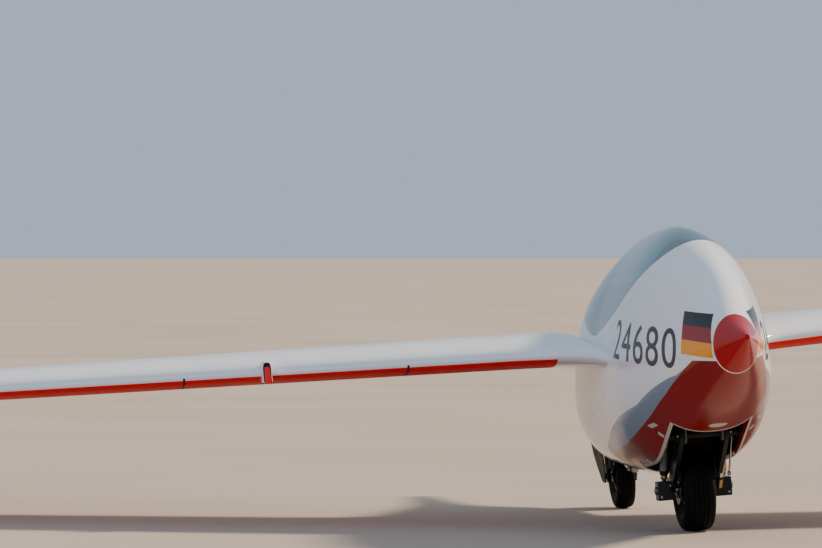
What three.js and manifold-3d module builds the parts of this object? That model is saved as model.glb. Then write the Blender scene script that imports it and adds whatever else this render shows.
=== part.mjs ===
// Tailless single-seat sailplane standing on its two wheels with one wing tip down.
// Millimetres. Nose towards -Y, left wing towards +X, +Z up.
import * as THREE from 'three';
import { mergeVertices } from 'three/addons/utils/BufferGeometryUtils.js';
import Module from 'manifold-3d';

const wasm = await Module();
wasm.setup();

// ---------- Driving sizes ----------
const bankDegrees = 4.55;        // right wing down, on its tip skid
const seatGap = 0.3;             // between pieces that rest on each other
const runGap = 5;                // between a moving piece and its neighbours
const pinRadius = 4;
const pinHoleRadius = 4.6;
const skinThickness = 18;
const glassThickness = 4;
const canopySeam = 0.5;
const canopyBand = 34;           // width of the white canopy frame

// Fuselage cross-sections: a superellipse with its own upper and lower power.
const fuselageTable = [
  { y: 0, bottom: 660, top: 676, half: 8, widest: 668, upper: 2.0, lower: 2.0 },
  { y: 205, bottom: 552, top: 737, half: 71.5, widest: 640, upper: 2.0, lower: 2.0 },
  { y: 450, bottom: 442, top: 890, half: 137, widest: 580, upper: 1.95, lower: 2.1 },
  { y: 720, bottom: 350, top: 973, half: 207, widest: 545, upper: 1.97, lower: 2.2 },
  { y: 1100, bottom: 212, top: 1018, half: 254, widest: 505, upper: 1.73, lower: 2.3 },
  { y: 1600, bottom: 177, top: 993, half: 244, widest: 475, upper: 1.65, lower: 2.3 },
  { y: 2100, bottom: 178, top: 883, half: 221, widest: 430, upper: 2.09, lower: 2.2 },
  { y: 2640, bottom: 182, top: 765, half: 143, widest: 445, upper: 1.9, lower: 2.1 },
  { y: 3200, bottom: 440, top: 605, half: 58, widest: 515, upper: 2.0, lower: 2.0 },
  { y: 3850, bottom: 480, top: 540, half: 18, widest: 510, upper: 2.0, lower: 2.0 },
];
const noseCapEnd = 205;
const fuselageEnd = 3850;
const sectionPoints = 36;

// Canopy seam seen from the side, from the hinge at the front over the sill to the rear bow.
// It bends upwards all the way, so the canopy swings clear of the fuselage.
const canopySeamTable = [
  { y: 657, z: 962 },
  { y: 746, z: 889 },
  { y: 862, z: 838 },
  { y: 1024, z: 773 },
  { y: 1232, z: 705 },
  { y: 1512, z: 639 },
  { y: 1706, z: 613 },
  { y: 2290, z: 690 },
  { y: 2390, z: 900 },
];
const aboveAll = 1300;           // cutters end above the canopy and beyond the fuselage's sides
const beyondSides = 400;
const canopyReach = 300;

// Wheel wells
const frontWell = { half: 127, y0: 720, y1: 1345, top: 400 };
const rearWell = { half: 80, y0: 2480, y1: 2810, top: 370 };
const wellWall = 12;

// Wheels
const frontWheel = { y: 1160, radius: 145, half: 54 };
const rearWheel = { y: 2643, radius: 120, half: 35 };

// Wing stations from the root to the tip: leading edge y, chord, height of the chord
// line, greatest thickness.
const wingTable = [
  { x: 90, lead: 1050, chord: 1500, z: 577, thick: 74 },
  { x: 235, lead: 1180, chord: 1330, z: 586, thick: 80 },
  { x: 285, lead: 1255, chord: 1225, z: 603, thick: 106 },
  { x: 330, lead: 1312, chord: 1155, z: 611, thick: 119 },
  { x: 380, lead: 1340, chord: 1120, z: 614, thick: 120 },
  { x: 520, lead: 1400, chord: 1070, z: 617, thick: 119 },
  { x: 2750, lead: 2103, chord: 889, z: 643, thick: 105 },
  { x: 4950, lead: 2797, chord: 710, z: 670, thick: 82 },
  { x: 7060, lead: 3462, chord: 538, z: 697, thick: 60 },
  { x: 7465, lead: 3600, chord: 490, z: 703, thick: 52 },
];
// Airfoil rows: chord fraction, mean line and thickness as fractions of the greatest thickness.
const airfoilTable = [
  { u: 1.0, mean: 0.02, thick: 0.03 },
  { u: 0.9, mean: 0.02, thick: 0.24 },
  { u: 0.8, mean: 0.03, thick: 0.46 },
  { u: 0.66, mean: 0.07, thick: 0.71 },
  { u: 0.5, mean: 0.1, thick: 0.925 },
  { u: 0.34, mean: 0.1, thick: 1.0 },
  { u: 0.2, mean: 0.09, thick: 0.94 },
  { u: 0.1, mean: 0.06, thick: 0.77 },
  { u: 0.04, mean: 0.03, thick: 0.54 },
  { u: 0.01, mean: 0.01, thick: 0.29 },
];
const hingeFraction = 0.8;
const elevonEdges = [620, 2750, 4950, 7020];
const hingePlate = 8;            // thickness of the hinge plate between two elevons

// The airbrake's cap lies in the upper skin, and its blade hangs below the cap.
const airbrake = { x0: 1500, x1: 2600, u: 0.5, capHalf: 17, capDepth: 4.5, bladeHalf: 6, depth: 66 };
const airbrakeSunk = 0.2;

// Winglet sections from the bottom up
const wingletX = 7475;
const wingletTable = [
  { z: 652, lead: 3610, chord: 480, thick: 46 },
  { z: 800, lead: 3640, chord: 470, thick: 50 },
  { z: 1700, lead: 3950, chord: 300, thick: 32 },
];
const rudderSpan = { z0: 800, z1: 1640 };
const rudderFraction = 0.68;

// Tip skid outline: distance behind the leading edge, height above its sole
const skidX = 7250;
const skidHalf = 9;
const skidOutline = [
  { back: 90, up: 60 },
  { back: 130, up: 0 },
  { back: 300, up: 0 },
  { back: 350, up: 60 },
  { back: 350, up: 140 },
  { back: 90, up: 140 },
];
const skidCover = { x0: 7060, x1: 7400, lift: 40 };

// Pod on the right wing's leading edge
const pod = { x: 1345, half: 18, ahead: 62, behind: 60, up: 36, reach: 60 };

// Seat line seen from the side, with the cushions on it
const seatLine = [
  { y: 1375, z: 310 },
  { y: 1440, z: 272 },
  { y: 1650, z: 255 },
  { y: 1725, z: 280 },
  { y: 2010, z: 735 },
];
const seatBend = 2;              // the seat cushion ends at this row, the back cushion starts at the next
const seatPan = { half: 235, thick: 12 };
const cushionSize = { half: 150, thick: 42, lift: 12 };
const headrestHalf = 75;
const headrestOutline = [
  { up: seatGap, out: 2 },
  { up: 110, out: 2 },
  { up: 110, out: 40 },
  { up: 20, out: 46 },
  { up: seatGap, out: 30 },
];

// Instrument panel, its hood and its pedestal
const hood = { inset: 40, thick: 4, half: 300, y0: 740, y1: 1012, bottom: 770 };
const hoodMiddle = 880;
const panel = { y0: 984, y1: 1000, bottom: 640, reach: 10 };
const pedestal = { half: 30, y0: 976, y1: 1006, top: 700 };

// Control stick and rudder pedals
const stick = { y: 1275, footRadius: 24, footHeight: 22, bendY: 1262, bendZ: 590, topY: 1245, topZ: 680 };
const pedals = { y: 668, z: 480, half: 230, radius: 9, inner: 30, outer: 105 };
const pedalPlate = [
  { y: 648, z: 420 },
  { y: 660, z: 418 },
  { y: 672, z: 560 },
  { y: 660, z: 561 },
];

// Front gear: two swing arms on a pivot tube, held up by two shock absorbers
const gearPivot = { y: 900, z: 335, radius: 12 };
const shockTop = { y: 1085, z: 372, radius: 10 };
const railOutline = [
  { y: 862, z: 352 },
  { y: 880, z: 318 },
  { y: 925, z: 314 },
  { y: 1000, z: 342 },
  { y: 1300, z: 350 },
  { y: 1300, z: 392 },
  { y: 1040, z: 396 },
  { y: 862, z: 396 },
];
const railInner = 116;
const armOutline = [
  { y: 876, z: 326 },
  { y: 886, z: 312 },
  { y: 1100, z: 158 },
  { y: 1128, z: 140 },
  { y: 1190, z: 140 },
  { y: 1192, z: 178 },
  { y: 1150, z: 190 },
  { y: 930, z: 350 },
  { y: 912, z: 359 },
  { y: 892, z: 358 },
  { y: 878, z: 346 },
];
const arm = { inner: 68, outer: 82 };
const axleBlock = { outer: 124, y0: 1130, y1: 1190, z0: 112, z1: 174 };
const shock = { x: 99, y: 1150, lift: 3.4, rod: 8, body: 13, collar: 15 };
const shockCollars = [
  { from: 22, to: 38 },
  { fromEnd: 30, toEnd: 14 },
];
const axleRadius = 10;
const axleHole = 10.72;
const rimBore = 10.7;
const frontNut = { radius: 16, length: 8 };
const rearNut = { radius: 15, length: 6 };
const disc = { x0: -50.3, x1: -54.3, inner: 20, outer: 52 };
const caliper = { x0: -67.7, x1: -60, y0: 1188, y1: 1236, z0: 112, z1: 164 };
const bead = { front: 62, rear: 54 };
const hubHalf = { front: 50, rear: 34 };

// Rear gear: a fork, a door that moves with it, and the tow hook ahead of it
const forkOutline = [
  { y: 2618, z: 98 },
  { y: 2668, z: 98 },
  { y: 2672, z: 140 },
  { y: 2700, z: 300 },
  { y: 2700, z: rearWell.top - seatGap },
  { y: 2590, z: rearWell.top - seatGap },
  { y: 2590, z: 300 },
  { y: 2612, z: 140 },
];
const fork = { inner: 42, outer: 52, bridgeY0: 2590, bridgeY1: 2700, bridgeZ: 320 };
const doorThickness = 5;
const doorRows = [
  { x: -71, y0: 2622, y1: 2668, z: 98 },
  { x: -96, y0: 2500, y1: 2800, z: 262 },
];
const hookHalf = 9;
const hookOutline = [
  { y: 2296, z: 210 },
  { y: 2296, z: 158 },
  { y: 2312, z: 146 },
  { y: 2350, z: 146 },
  { y: 2354, z: 156 },
  { y: 2324, z: 162 },
  { y: 2324, z: 210 },
];

// ---------- Colours ----------
function paint(hex, roughness, metalness) {
  return new THREE.MeshStandardMaterial({ color: hex, roughness, metalness });
}
const whiteGel = paint(0xe9ebec, 0.2, 0);
const redPaint = paint(0xa5141c, 0.25, 0);
const tint = paint(0x4c7f8f, 0.05, 0);
const blackMetal = paint(0x15171a, 0.45, 0.6);
const steel = paint(0xb9bcc0, 0.25, 1);
const rubber = paint(0x121212, 0.85, 0);
const grey = paint(0x6d7278, 0.5, 0.2);
const fabric = paint(0x3a3f48, 0.9, 0);

// ---------- Shape helpers ----------
function toSolid(geometry) {
  geometry.deleteAttribute('normal');
  geometry.deleteAttribute('uv');
  const merged = mergeVertices(geometry, 1e-3);
  const index = merged.index.array;
  const kept = [];
  for (let i = 0; i < index.length; i += 3) {
    const [a, b, c] = [index[i], index[i + 1], index[i + 2]];
    if (a !== b && b !== c && a !== c) kept.push(a, b, c);
  }
  return new wasm.Manifold(new wasm.Mesh({
    numProp: 3,
    vertProperties: new Float32Array(merged.attributes.position.array),
    triVerts: new Uint32Array(kept),
  }));
}

// A solid skinned over rings that all have the same number of points.
function loft(rings) {
  const count = rings[0].length;
  const positions = rings.flat(2);
  const faces = [];
  for (let r = 0; r + 1 < rings.length; r++) {
    for (let i = 0; i < count; i++) {
      const j = (i + 1) % count;
      const [a, b, c, d] = [r * count + i, r * count + j, (r + 1) * count + i, (r + 1) * count + j];
      faces.push(a, b, d, a, d, c);
    }
  }
  [0, rings.length - 1].forEach((r, last) => {
    const ring = rings[r];
    const spans = [0, 1, 2].map((k) => {
      const values = ring.map((p) => p[k]);
      return Math.max(...values) - Math.min(...values);
    });
    const flat = spans.indexOf(Math.min(...spans));
    const [u, v] = [(flat + 1) % 3, (flat + 2) % 3];
    const contour = ring.map((p) => new THREE.Vector2(p[u], p[v]));
    const next = ring.map((p, i) => ring[(i + 1) % count]);
    let turn = 0;
    ring.forEach((p, i) => { turn += p[u] * next[i][v] - next[i][u] * p[v]; });
    const cap = THREE.ShapeUtils.triangulateShape(contour, []);
    for (const [a, b, c] of cap) {
      const area = (contour[b].x - contour[a].x) * (contour[c].y - contour[a].y)
        - (contour[c].x - contour[a].x) * (contour[b].y - contour[a].y);
      const along = area * turn > 0;
      if (along === (last === 1)) faces.push(r * count + a, r * count + b, r * count + c);
      else faces.push(r * count + a, r * count + c, r * count + b);
    }
  });
  let volume = 0;
  for (let i = 0; i < faces.length; i += 3) {
    const [a, b, c] = [faces[i], faces[i + 1], faces[i + 2]]
      .map((k) => new THREE.Vector3(...positions.slice(3 * k, 3 * k + 3)));
    volume += a.dot(b.cross(c));
  }
  if (volume < 0) {
    for (let i = 0; i < faces.length; i += 3) [faces[i], faces[i + 1]] = [faces[i + 1], faces[i]];
  }
  const geometry = new THREE.BufferGeometry();
  geometry.setAttribute('position', new THREE.Float32BufferAttribute(positions, 3));
  geometry.setIndex(faces);
  return toSolid(geometry);
}

function box(x0, x1, y0, y1, z0, z1) {
  const geometry = new THREE.BoxGeometry(Math.abs(x1 - x0), y1 - y0, z1 - z0);
  geometry.translate((x0 + x1) / 2, (y0 + y1) / 2, (z0 + z1) / 2);
  return toSolid(geometry);
}

// A round bar between two points.
function rod(from, to, radius, sides = 12, radiusTo = radius) {
  const [a, b] = [new THREE.Vector3(...from), new THREE.Vector3(...to)];
  const geometry = new THREE.CylinderGeometry(radiusTo, radius, a.distanceTo(b), sides);
  const turn = new THREE.Quaternion().setFromUnitVectors(new THREE.Vector3(0, 1, 0), b.clone().sub(a).normalize());
  geometry.applyQuaternion(turn);
  geometry.translate(...a.add(b).multiplyScalar(0.5).toArray());
  return toSolid(geometry);
}

// A turned part about an axis along X: profile rows are [x, radius].
function turned(profile, y, z, sides) {
  const points = [...profile, profile[0]].map(([x, r]) => new THREE.Vector2(r, x));
  const geometry = new THREE.LatheGeometry(points, sides);
  geometry.applyMatrix4(new THREE.Matrix4().makeBasis(
    new THREE.Vector3(0, 0, -1), new THREE.Vector3(1, 0, 0), new THREE.Vector3(0, -1, 0)));
  geometry.translate(0, y, z);
  return toSolid(geometry);
}

// A round bar along X through one point.
function crossBar(x0, x1, centre, radius, sides) {
  return rod([x0, centre.y, centre.z], [x1, centre.y, centre.z], radius, sides);
}

// A side outline of { y, z } points, as wide as x0 to x1.
function sidePlate(outline, x0, x1) {
  return loft([x0, x1].map((x) => outline.map(({ y, z }) => [x, y, z])));
}

function union(solids) {
  return solids.reduce((sum, next) => sum.add(next));
}

// ---------- Fuselage sections ----------
// Monotone cubic through one column of a table.
function columnAt(table, key, name, at) {
  const last = table.length - 1;
  const xs = table.map((row) => row[key]);
  const ys = table.map((row) => row[name]);
  const slopes = xs.slice(1).map((x, i) => (ys[i + 1] - ys[i]) / (x - xs[i]));
  const tangents = ys.map((value, i) => {
    if (i === 0) return slopes[0];
    if (i === last) return slopes[last - 1];
    if (slopes[i - 1] * slopes[i] <= 0) return 0;
    const before = xs[i] - xs[i - 1];
    const after = xs[i + 1] - xs[i];
    const [w0, w1] = [2 * after + before, after + 2 * before];
    return (w0 + w1) / (w0 / slopes[i - 1] + w1 / slopes[i]);
  });
  let i = 0;
  while (i < last - 1 && at > xs[i + 1]) i++;
  const step = xs[i + 1] - xs[i];
  const t = (at - xs[i]) / step;
  return (2 * t ** 3 - 3 * t ** 2 + 1) * ys[i] + (t ** 3 - 2 * t ** 2 + t) * step * tangents[i]
    + (3 * t ** 2 - 2 * t ** 3) * ys[i + 1] + (t ** 3 - t ** 2) * step * tangents[i + 1];
}

function fuselageRing(y, inset) {
  const at = (name) => columnAt(fuselageTable, 'y', name, y);
  const widest = at('widest');
  const [up, down, half] = [at('top') - widest - inset, widest - at('bottom') - inset, at('half') - inset];
  const ring = [];
  for (let i = 0; i < sectionPoints; i++) {
    const angle = 2 * Math.PI * i / sectionPoints;
    const [c, s] = [Math.cos(angle), Math.sin(angle)];
    const power = 2 / (s >= 0 ? at('upper') : at('lower'));
    const across = Math.abs(c) < 1e-9 ? 0 : Math.sign(c) * Math.abs(c) ** power;
    const high = Math.abs(s) < 1e-9 ? 0 : Math.sign(s) * Math.abs(s) ** power;
    ring.push([half * across, y, widest + (s >= 0 ? up : down) * high]);
  }
  return ring;
}

function fuselageLoft(stations, inset) {
  return loft(stations.map((y) => fuselageRing(y, inset)));
}

const outerStations = [205 + seatGap, 300, 440, 600, 780, 960, 1160, 1380, 1620, 1860, 2100, 2340, 2600, 2860,
  3150, 3500, fuselageEnd];
const cabinStations = [400, 500, 620, 780, 960, 1160, 1380, 1620, 1860, 2100, 2300];
const outer = fuselageLoft(outerStations, 0);
const outerGrown = fuselageLoft(outerStations, -seatGap);
const wallInner = fuselageLoft(cabinStations, skinThickness);
const fittingInner = fuselageLoft(cabinStations, skinThickness + seatGap);

function wellBox(well, grow) {
  return box(-well.half - grow, well.half + grow, well.y0 - grow, well.y1 + grow, 0, well.top + grow);
}

// Side outline of the canopy, moved inwards by the given distance.
function canopyOutline(inset) {
  const edge = canopySeamTable.map(({ y, z }) => new THREE.Vector2(y, z));
  const lines = edge.slice(1).map((p, i) => {
    const dir = p.clone().sub(edge[i]).normalize();
    const normal = new THREE.Vector2(-dir.y, dir.x);
    return { point: edge[i].clone().addScaledVector(normal, inset), dir };
  });
  const cross = (a, b) => {
    const det = a.dir.x * b.dir.y - a.dir.y * b.dir.x;
    const gap = b.point.clone().sub(a.point);
    return a.point.clone().addScaledVector(a.dir, (gap.x * b.dir.y - gap.y * b.dir.x) / det);
  };
  const ahead = lines[0].point.clone().addScaledVector(lines[0].dir, -canopyReach);
  const behind = lines.at(-1).point.clone().addScaledVector(lines.at(-1).dir, canopyReach);
  return [ahead, ...lines.slice(1).map((line, i) => cross(lines[i], line)), behind,
    new THREE.Vector2(behind.x, aboveAll), new THREE.Vector2(ahead.x, aboveAll)].map((p) => ({ y: p.x, z: p.y }));
}
function canopyRegion(inset) {
  return sidePlate(canopyOutline(inset), -beyondSides, beyondSides);
}

const pieces = [];
function piece(name, solid, material) {
  pieces.push({ name, solid, material });
}

piece('nose_cap', fuselageLoft([0, 15, 45, 95, 150, noseCapEnd], 0), redPaint);

const cabin = wallInner.subtract(wellBox(frontWell, wellWall));
piece('fuselage_shell', outer
  .subtract(cabin)
  .subtract(canopyRegion(0))
  .subtract(wellBox(frontWell, 0))
  .subtract(wellBox(rearWell, 0)), whiteGel);

// ---------- Canopy ----------
const canopyStations = [600, 700, 800, 960, 1160, 1380, 1620, 1860, 2100, 2300, 2450];
const canopyOuter = fuselageLoft(canopyStations, 0);
const canopyInnerStations = [canopyStations[0] - 20, ...canopyStations.slice(1, -1), canopyStations.at(-1) + 20];
const frameShell = canopyOuter.subtract(fuselageLoft(canopyInnerStations, skinThickness));
const glassShell = canopyOuter.subtract(fuselageLoft(canopyInnerStations, glassThickness));
piece('canopy_frame', frameShell.intersect(canopyRegion(canopySeam)).subtract(canopyRegion(canopyBand)), whiteGel);
piece('canopy_glass', glassShell.intersect(canopyRegion(canopyBand + seatGap)), tint);

// ---------- Wing ----------
function wingRing(station, side) {
  const at = (u, z) => [side * station.x, station.lead + u * station.chord, station.z + z];
  const upper = airfoilTable.map((row) => at(row.u, station.thick * (row.mean + row.thick / 2)));
  const lower = airfoilTable.map((row) => at(row.u, station.thick * (row.mean - row.thick / 2)));
  return [...upper, at(0, 0), ...lower.reverse()];
}

function stationAt(x) {
  const next = wingTable.findIndex((row) => row.x >= x);
  const [a, b] = [wingTable[Math.max(next - 1, 0)], wingTable[Math.max(next, 1)]];
  const t = (x - a.x) / (b.x - a.x);
  const mixed = {};
  for (const key of Object.keys(a)) mixed[key] = a[key] + t * (b[key] - a[key]);
  return mixed;
}

function airfoilAt(u) {
  const next = airfoilTable.findIndex((row) => row.u <= u);
  const [a, b] = [airfoilTable[Math.max(next - 1, 0)], airfoilTable[Math.max(next, 1)]];
  const t = (u - a.u) / (b.u - a.u);
  return { mean: a.mean + t * (b.mean - a.mean), thick: a.thick + t * (b.thick - a.thick) };
}

// Hinge point of the elevons at a span position, with the nose radius there.
function elevonHinge(x, side) {
  const station = stationAt(x);
  const foil = airfoilAt(hingeFraction);
  return {
    point: [side * x, station.lead + hingeFraction * station.chord, station.z + station.thick * foil.mean],
    nose: station.thick * foil.thick / 2,
    station,
  };
}

function along(from, to, distance) {
  const [a, b] = [new THREE.Vector3(...from), new THREE.Vector3(...to)];
  const dir = b.clone().sub(a).normalize();
  return a.addScaledVector(dir, distance).toArray();
}

function coveRing(x, side) {
  const { point, nose, station } = elevonHinge(x, side);
  const front = point[1] - nose - runGap;
  const back = station.lead + station.chord + 40;
  return [[front, -120], [back, -120], [back, 120], [front, 120]].map(([y, z]) => [side * x, y, point[2] + z]);
}

function elevonRing(x, side) {
  const { point, nose, station } = elevonHinge(x, side);
  const ring = [];
  for (let i = 0; i <= 6; i++) {
    const angle = Math.PI / 2 + Math.PI * i / 6;
    ring.push([point[0], point[1] + nose * Math.cos(angle), point[2] + nose * Math.sin(angle)]);
  }
  const rows = airfoilTable.filter((row) => row.u > hingeFraction + 0.01);
  const at = (u, z) => [point[0], station.lead + u * station.chord, station.z + z];
  const lower = rows.map((row) => at(row.u, station.thick * (row.mean - row.thick / 2))).reverse();
  const upper = rows.map((row) => at(row.u, station.thick * (row.mean + row.thick / 2)));
  return [...ring, ...lower, ...upper];
}

function airbrakeSurface(x, offset) {
  const station = stationAt(x);
  const u = airbrake.u + offset / station.chord;
  const foil = airfoilAt(u);
  return station.z + station.thick * (foil.mean + foil.thick / 2);
}

// A T-shaped section: the cap in the wing's upper skin over the blade below it.
function airbrakeRing(x, side, capHalf, capDepth, bladeHalf, depth, lift) {
  const station = stationAt(x);
  const y = station.lead + airbrake.u * station.chord;
  const middle = airbrakeSurface(x, 0);
  const rise = airbrakeSurface(x, airbrake.capHalf) - airbrakeSurface(x, -airbrake.capHalf);
  const slope = rise / (2 * airbrake.capHalf);
  const line = (dy) => middle + slope * dy;
  return [
    [-capHalf, line(-capHalf) + lift], [-capHalf, line(-capHalf) - capDepth],
    [-bladeHalf, line(-bladeHalf) - capDepth], [-bladeHalf, middle - depth], [bladeHalf, middle - depth],
    [bladeHalf, line(bladeHalf) - capDepth], [capHalf, line(capHalf) - capDepth], [capHalf, line(capHalf) + lift],
  ].map(([dy, z]) => [side * x, y + dy, z]);
}

function wingletRing(row, side, grow) {
  const at = (u, w) => [side * wingletX + w, row.lead - grow + u * (row.chord + 2 * grow), row.z];
  const outerSide = airfoilTable.map((foil) => at(foil.u, foil.thick * row.thick / 2 + grow));
  const innerSide = airfoilTable.map((foil) => at(foil.u, -foil.thick * row.thick / 2 - grow));
  return [...outerSide, at(0, 0), ...innerSide.reverse()];
}

function wingletAt(z) {
  const next = wingletTable.findIndex((row) => row.z >= z);
  const [a, b] = [wingletTable[Math.max(next - 1, 0)], wingletTable[Math.max(next, 1)]];
  const t = (z - a.z) / (b.z - a.z);
  const mixed = {};
  for (const key of Object.keys(a)) mixed[key] = a[key] + t * (b[key] - a[key]);
  return mixed;
}

function rudderHinge(z, side) {
  const row = wingletAt(z);
  return {
    point: [side * wingletX, row.lead + rudderFraction * row.chord, z],
    nose: row.thick * airfoilAt(rudderFraction).thick / 2,
    row,
  };
}

function rudderRing(z, side) {
  const { point, nose, row } = rudderHinge(z, side);
  const ring = [];
  for (let i = 0; i <= 6; i++) {
    const angle = Math.PI / 2 + Math.PI * i / 6;
    ring.push([point[0] + nose * Math.sin(angle), point[1] + nose * Math.cos(angle), z]);
  }
  const rows = airfoilTable.filter((foil) => foil.u > rudderFraction + 0.05);
  const at = (u, w) => [point[0] + w, row.lead + u * row.chord, z];
  const right = rows.map((foil) => at(foil.u, -foil.thick * row.thick / 2)).reverse();
  const left = rows.map((foil) => at(foil.u, foil.thick * row.thick / 2));
  return [...ring, ...right, ...left];
}

function rudderCoveRing(z, side) {
  const { point, nose, row } = rudderHinge(z, side);
  const front = point[1] - nose - runGap;
  const back = row.lead + row.chord + 40;
  return [[-60, front], [60, front], [60, back], [-60, back]].map(([x, y]) => [point[0] + x, y, z]);
}

const sides = [{ label: 'left', side: 1 }, { label: 'right', side: -1 }];
const pinReach = 12;             // how far an end pin stands in its hole
const holeReach = 14;
const platePinReach = hingePlate / 2 - 0.5;
const plateHoleReach = 20;
for (const { label, side } of sides) {
  let wing = loft(wingTable.map((station) => wingRing(station, side)));
  wing = wing.subtract(outerGrown);
  // Elevon coves, with a hinge plate left between neighbours and a hole for their pins.
  for (let i = 0; i + 1 < elevonEdges.length; i++) {
    const last = i + 2 === elevonEdges.length;
    const inner = elevonEdges[i] + (i === 0 ? 0 : hingePlate / 2);
    const outerEdge = elevonEdges[i + 1] - (last ? 0 : hingePlate / 2);
    wing = wing.subtract(loft([inner, outerEdge].map((x) => coveRing(x, side))));
    const [start, end] = [inner + runGap, outerEdge - runGap];
    const [hingeStart, hingeEnd] = [elevonHinge(start, side).point, elevonHinge(end, side).point];
    const pinIn = i === 0 ? pinReach : platePinReach;
    const pinOut = last ? pinReach : platePinReach;
    const pin = rod(along(hingeStart, hingeEnd, -runGap - pinIn), along(hingeEnd, hingeStart, -runGap - pinOut),
      pinRadius, 8);
    piece(`elevon_${label}_${i + 1}`, loft([start, end].map((x) => elevonRing(x, side))).add(pin), whiteGel);
  }
  elevonEdges.forEach((x, i) => {
    const hinge = elevonHinge(x, side);
    const [, hingeY, hingeZ] = hinge.point;
    const middle = i > 0 && i + 1 < elevonEdges.length;
    if (middle) {
      const [x0, x1] = [side * x - hingePlate, side * x + hingePlate];
      const plateBack = hingeY + 10;
      const plateHalf = 10;
      const coveFront = hingeY - hinge.nose - runGap;
      const back = hinge.station.lead + hinge.station.chord + 40;
      wing = wing.subtract(box(x0, x1, plateBack, back, hingeZ - 100, hingeZ + 100))
        .subtract(box(x0, x1, coveFront, plateBack + 1, hingeZ + plateHalf, hingeZ + 60))
        .subtract(box(x0, x1, coveFront, plateBack + 1, hingeZ - 60, hingeZ - plateHalf));
    }
    const from = elevonHinge(Math.min(x, 6800), side).point;
    const to = elevonHinge(Math.min(x + 200, 7000), side).point;
    const dir = new THREE.Vector3(...to).sub(new THREE.Vector3(...from)).normalize();
    const centre = new THREE.Vector3(...hinge.point);
    const reach = middle ? plateHoleReach : holeReach;
    wing = wing.subtract(rod(centre.clone().addScaledVector(dir, -reach).toArray(),
      centre.clone().addScaledVector(dir, reach).toArray(), pinHoleRadius, 12));
  });
  // Airbrake pocket and blade
  const { x0, x1, capHalf, capDepth, bladeHalf, depth } = airbrake;
  wing = wing.subtract(loft([x0, x1].map((x) => airbrakeRing(x, side, capHalf + runGap, capDepth + seatGap,
    bladeHalf + runGap, depth + runGap, 20))));
  piece(`airbrake_${label}`, loft([x0 + runGap, x1 - runGap].map((x) => airbrakeRing(x, side, capHalf, capDepth,
    bladeHalf, depth, -airbrakeSunk))), whiteGel);
  // Winglet with its rudder
  wing = wing.subtract(loft(wingletTable.map((row) => wingletRing(row, side, seatGap))));
  let winglet = loft(wingletTable.map((row) => wingletRing(row, side, 0)));
  winglet = winglet.subtract(loft([rudderSpan.z0, rudderSpan.z1].map((z) => rudderCoveRing(z, side))));
  const rudderEnds = [rudderSpan.z0 + runGap, rudderSpan.z1 - runGap];
  const [low, high] = rudderEnds.map((z) => rudderHinge(z, side).point);
  const rudderPin = (radius, sidesCount, reach) => rod(along(low, high, -runGap - reach),
    along(high, low, -runGap - reach), radius, sidesCount);
  winglet = winglet.subtract(rudderPin(pinHoleRadius, 12, holeReach));
  piece(`winglet_${label}`, winglet, whiteGel);
  piece(`rudder_${label}`, loft(rudderEnds.map((z) => rudderRing(z, side))).add(rudderPin(pinRadius, 8, pinReach)),
    whiteGel);
  // Tip skid: its sole meets the ground on the low side.
  const skidLead = stationAt(skidX).lead;
  const groundSlope = Math.tan(THREE.MathUtils.degToRad(bankDegrees));
  const skid = loft([skidX - skidHalf, skidX + skidHalf].map((x) => skidOutline.map(
    ({ back, up }) => [side * x, skidLead + back, x * groundSlope + up])));
  const wingMoved = (lift) => loft([skidCover.x0, skidCover.x1].map((x) => {
    const station = stationAt(x);
    return wingRing({ ...station, z: station.z + lift }, side);
  }));
  piece(`tip_skid_${label}`, skid.subtract(wingMoved(-seatGap)).subtract(wingMoved(skidCover.lift)), blackMetal);
  if (side < 0) {
    const at = stationAt(pod.x);
    const podBox = box(-pod.x - pod.half, -pod.x + pod.half, at.lead - pod.ahead, at.lead + pod.behind,
      at.z - pod.up, at.z + pod.up);
    const grown = loft([pod.x - pod.reach, pod.x + pod.reach].map((x) => {
      const row = stationAt(x);
      return wingRing({ ...row, lead: row.lead - seatGap, thick: row.thick + 2 * seatGap }, side);
    }));
    piece('wing_pod', podBox.subtract(grown), blackMetal);
  }
  piece(`wing_${label}`, wing, whiteGel);
}

// ---------- Cockpit ----------
// The line and its copy moved out by a thickness.
function thickLine(line, thickness) {
  const top = line.map(({ y, z }, i) => {
    const [a, b] = [line[Math.max(i - 1, 0)], line[Math.min(i + 1, line.length - 1)]];
    const dir = new THREE.Vector2(b.y - a.y, b.z - a.z).normalize();
    return { y: y - dir.y * thickness, z: z + dir.x * thickness };
  });
  return { base: line, top };
}
const pan = thickLine(seatLine, seatPan.thick);
piece('seat_pan', sidePlate([...pan.base, ...[...pan.top].reverse()], -seatPan.half, seatPan.half)
  .intersect(fittingInner), grey);
const cushionBase = thickLine(pan.top, seatGap).top;
const { base: padBase, top: padTop } = thickLine(cushionBase, cushionSize.thick);
piece('seat_cushion', sidePlate([...padBase.slice(0, seatBend + 1), ...padTop.slice(0, seatBend + 1).reverse()],
  -cushionSize.half, cushionSize.half), fabric);
const [backLow, backHigh] = [seatBend + 1, seatBend + 2];
piece('back_cushion', sidePlate([padBase[backLow], padBase[backHigh], padTop[backHigh],
  { y: padTop[backLow].y, z: padTop[backLow].z + cushionSize.lift }], -cushionSize.half, cushionSize.half), fabric);

// Headrest standing on the seat back
const seatTop = seatLine[backHigh];
const backDir = new THREE.Vector2(seatTop.y - seatLine[backLow].y, seatTop.z - seatLine[backLow].z).normalize();
piece('headrest', sidePlate(headrestOutline.map(({ up, out }) => ({
  y: seatTop.y + backDir.x * up - backDir.y * out,
  z: seatTop.z + backDir.y * up + backDir.x * out,
})), -headrestHalf, headrestHalf), fabric);

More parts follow.
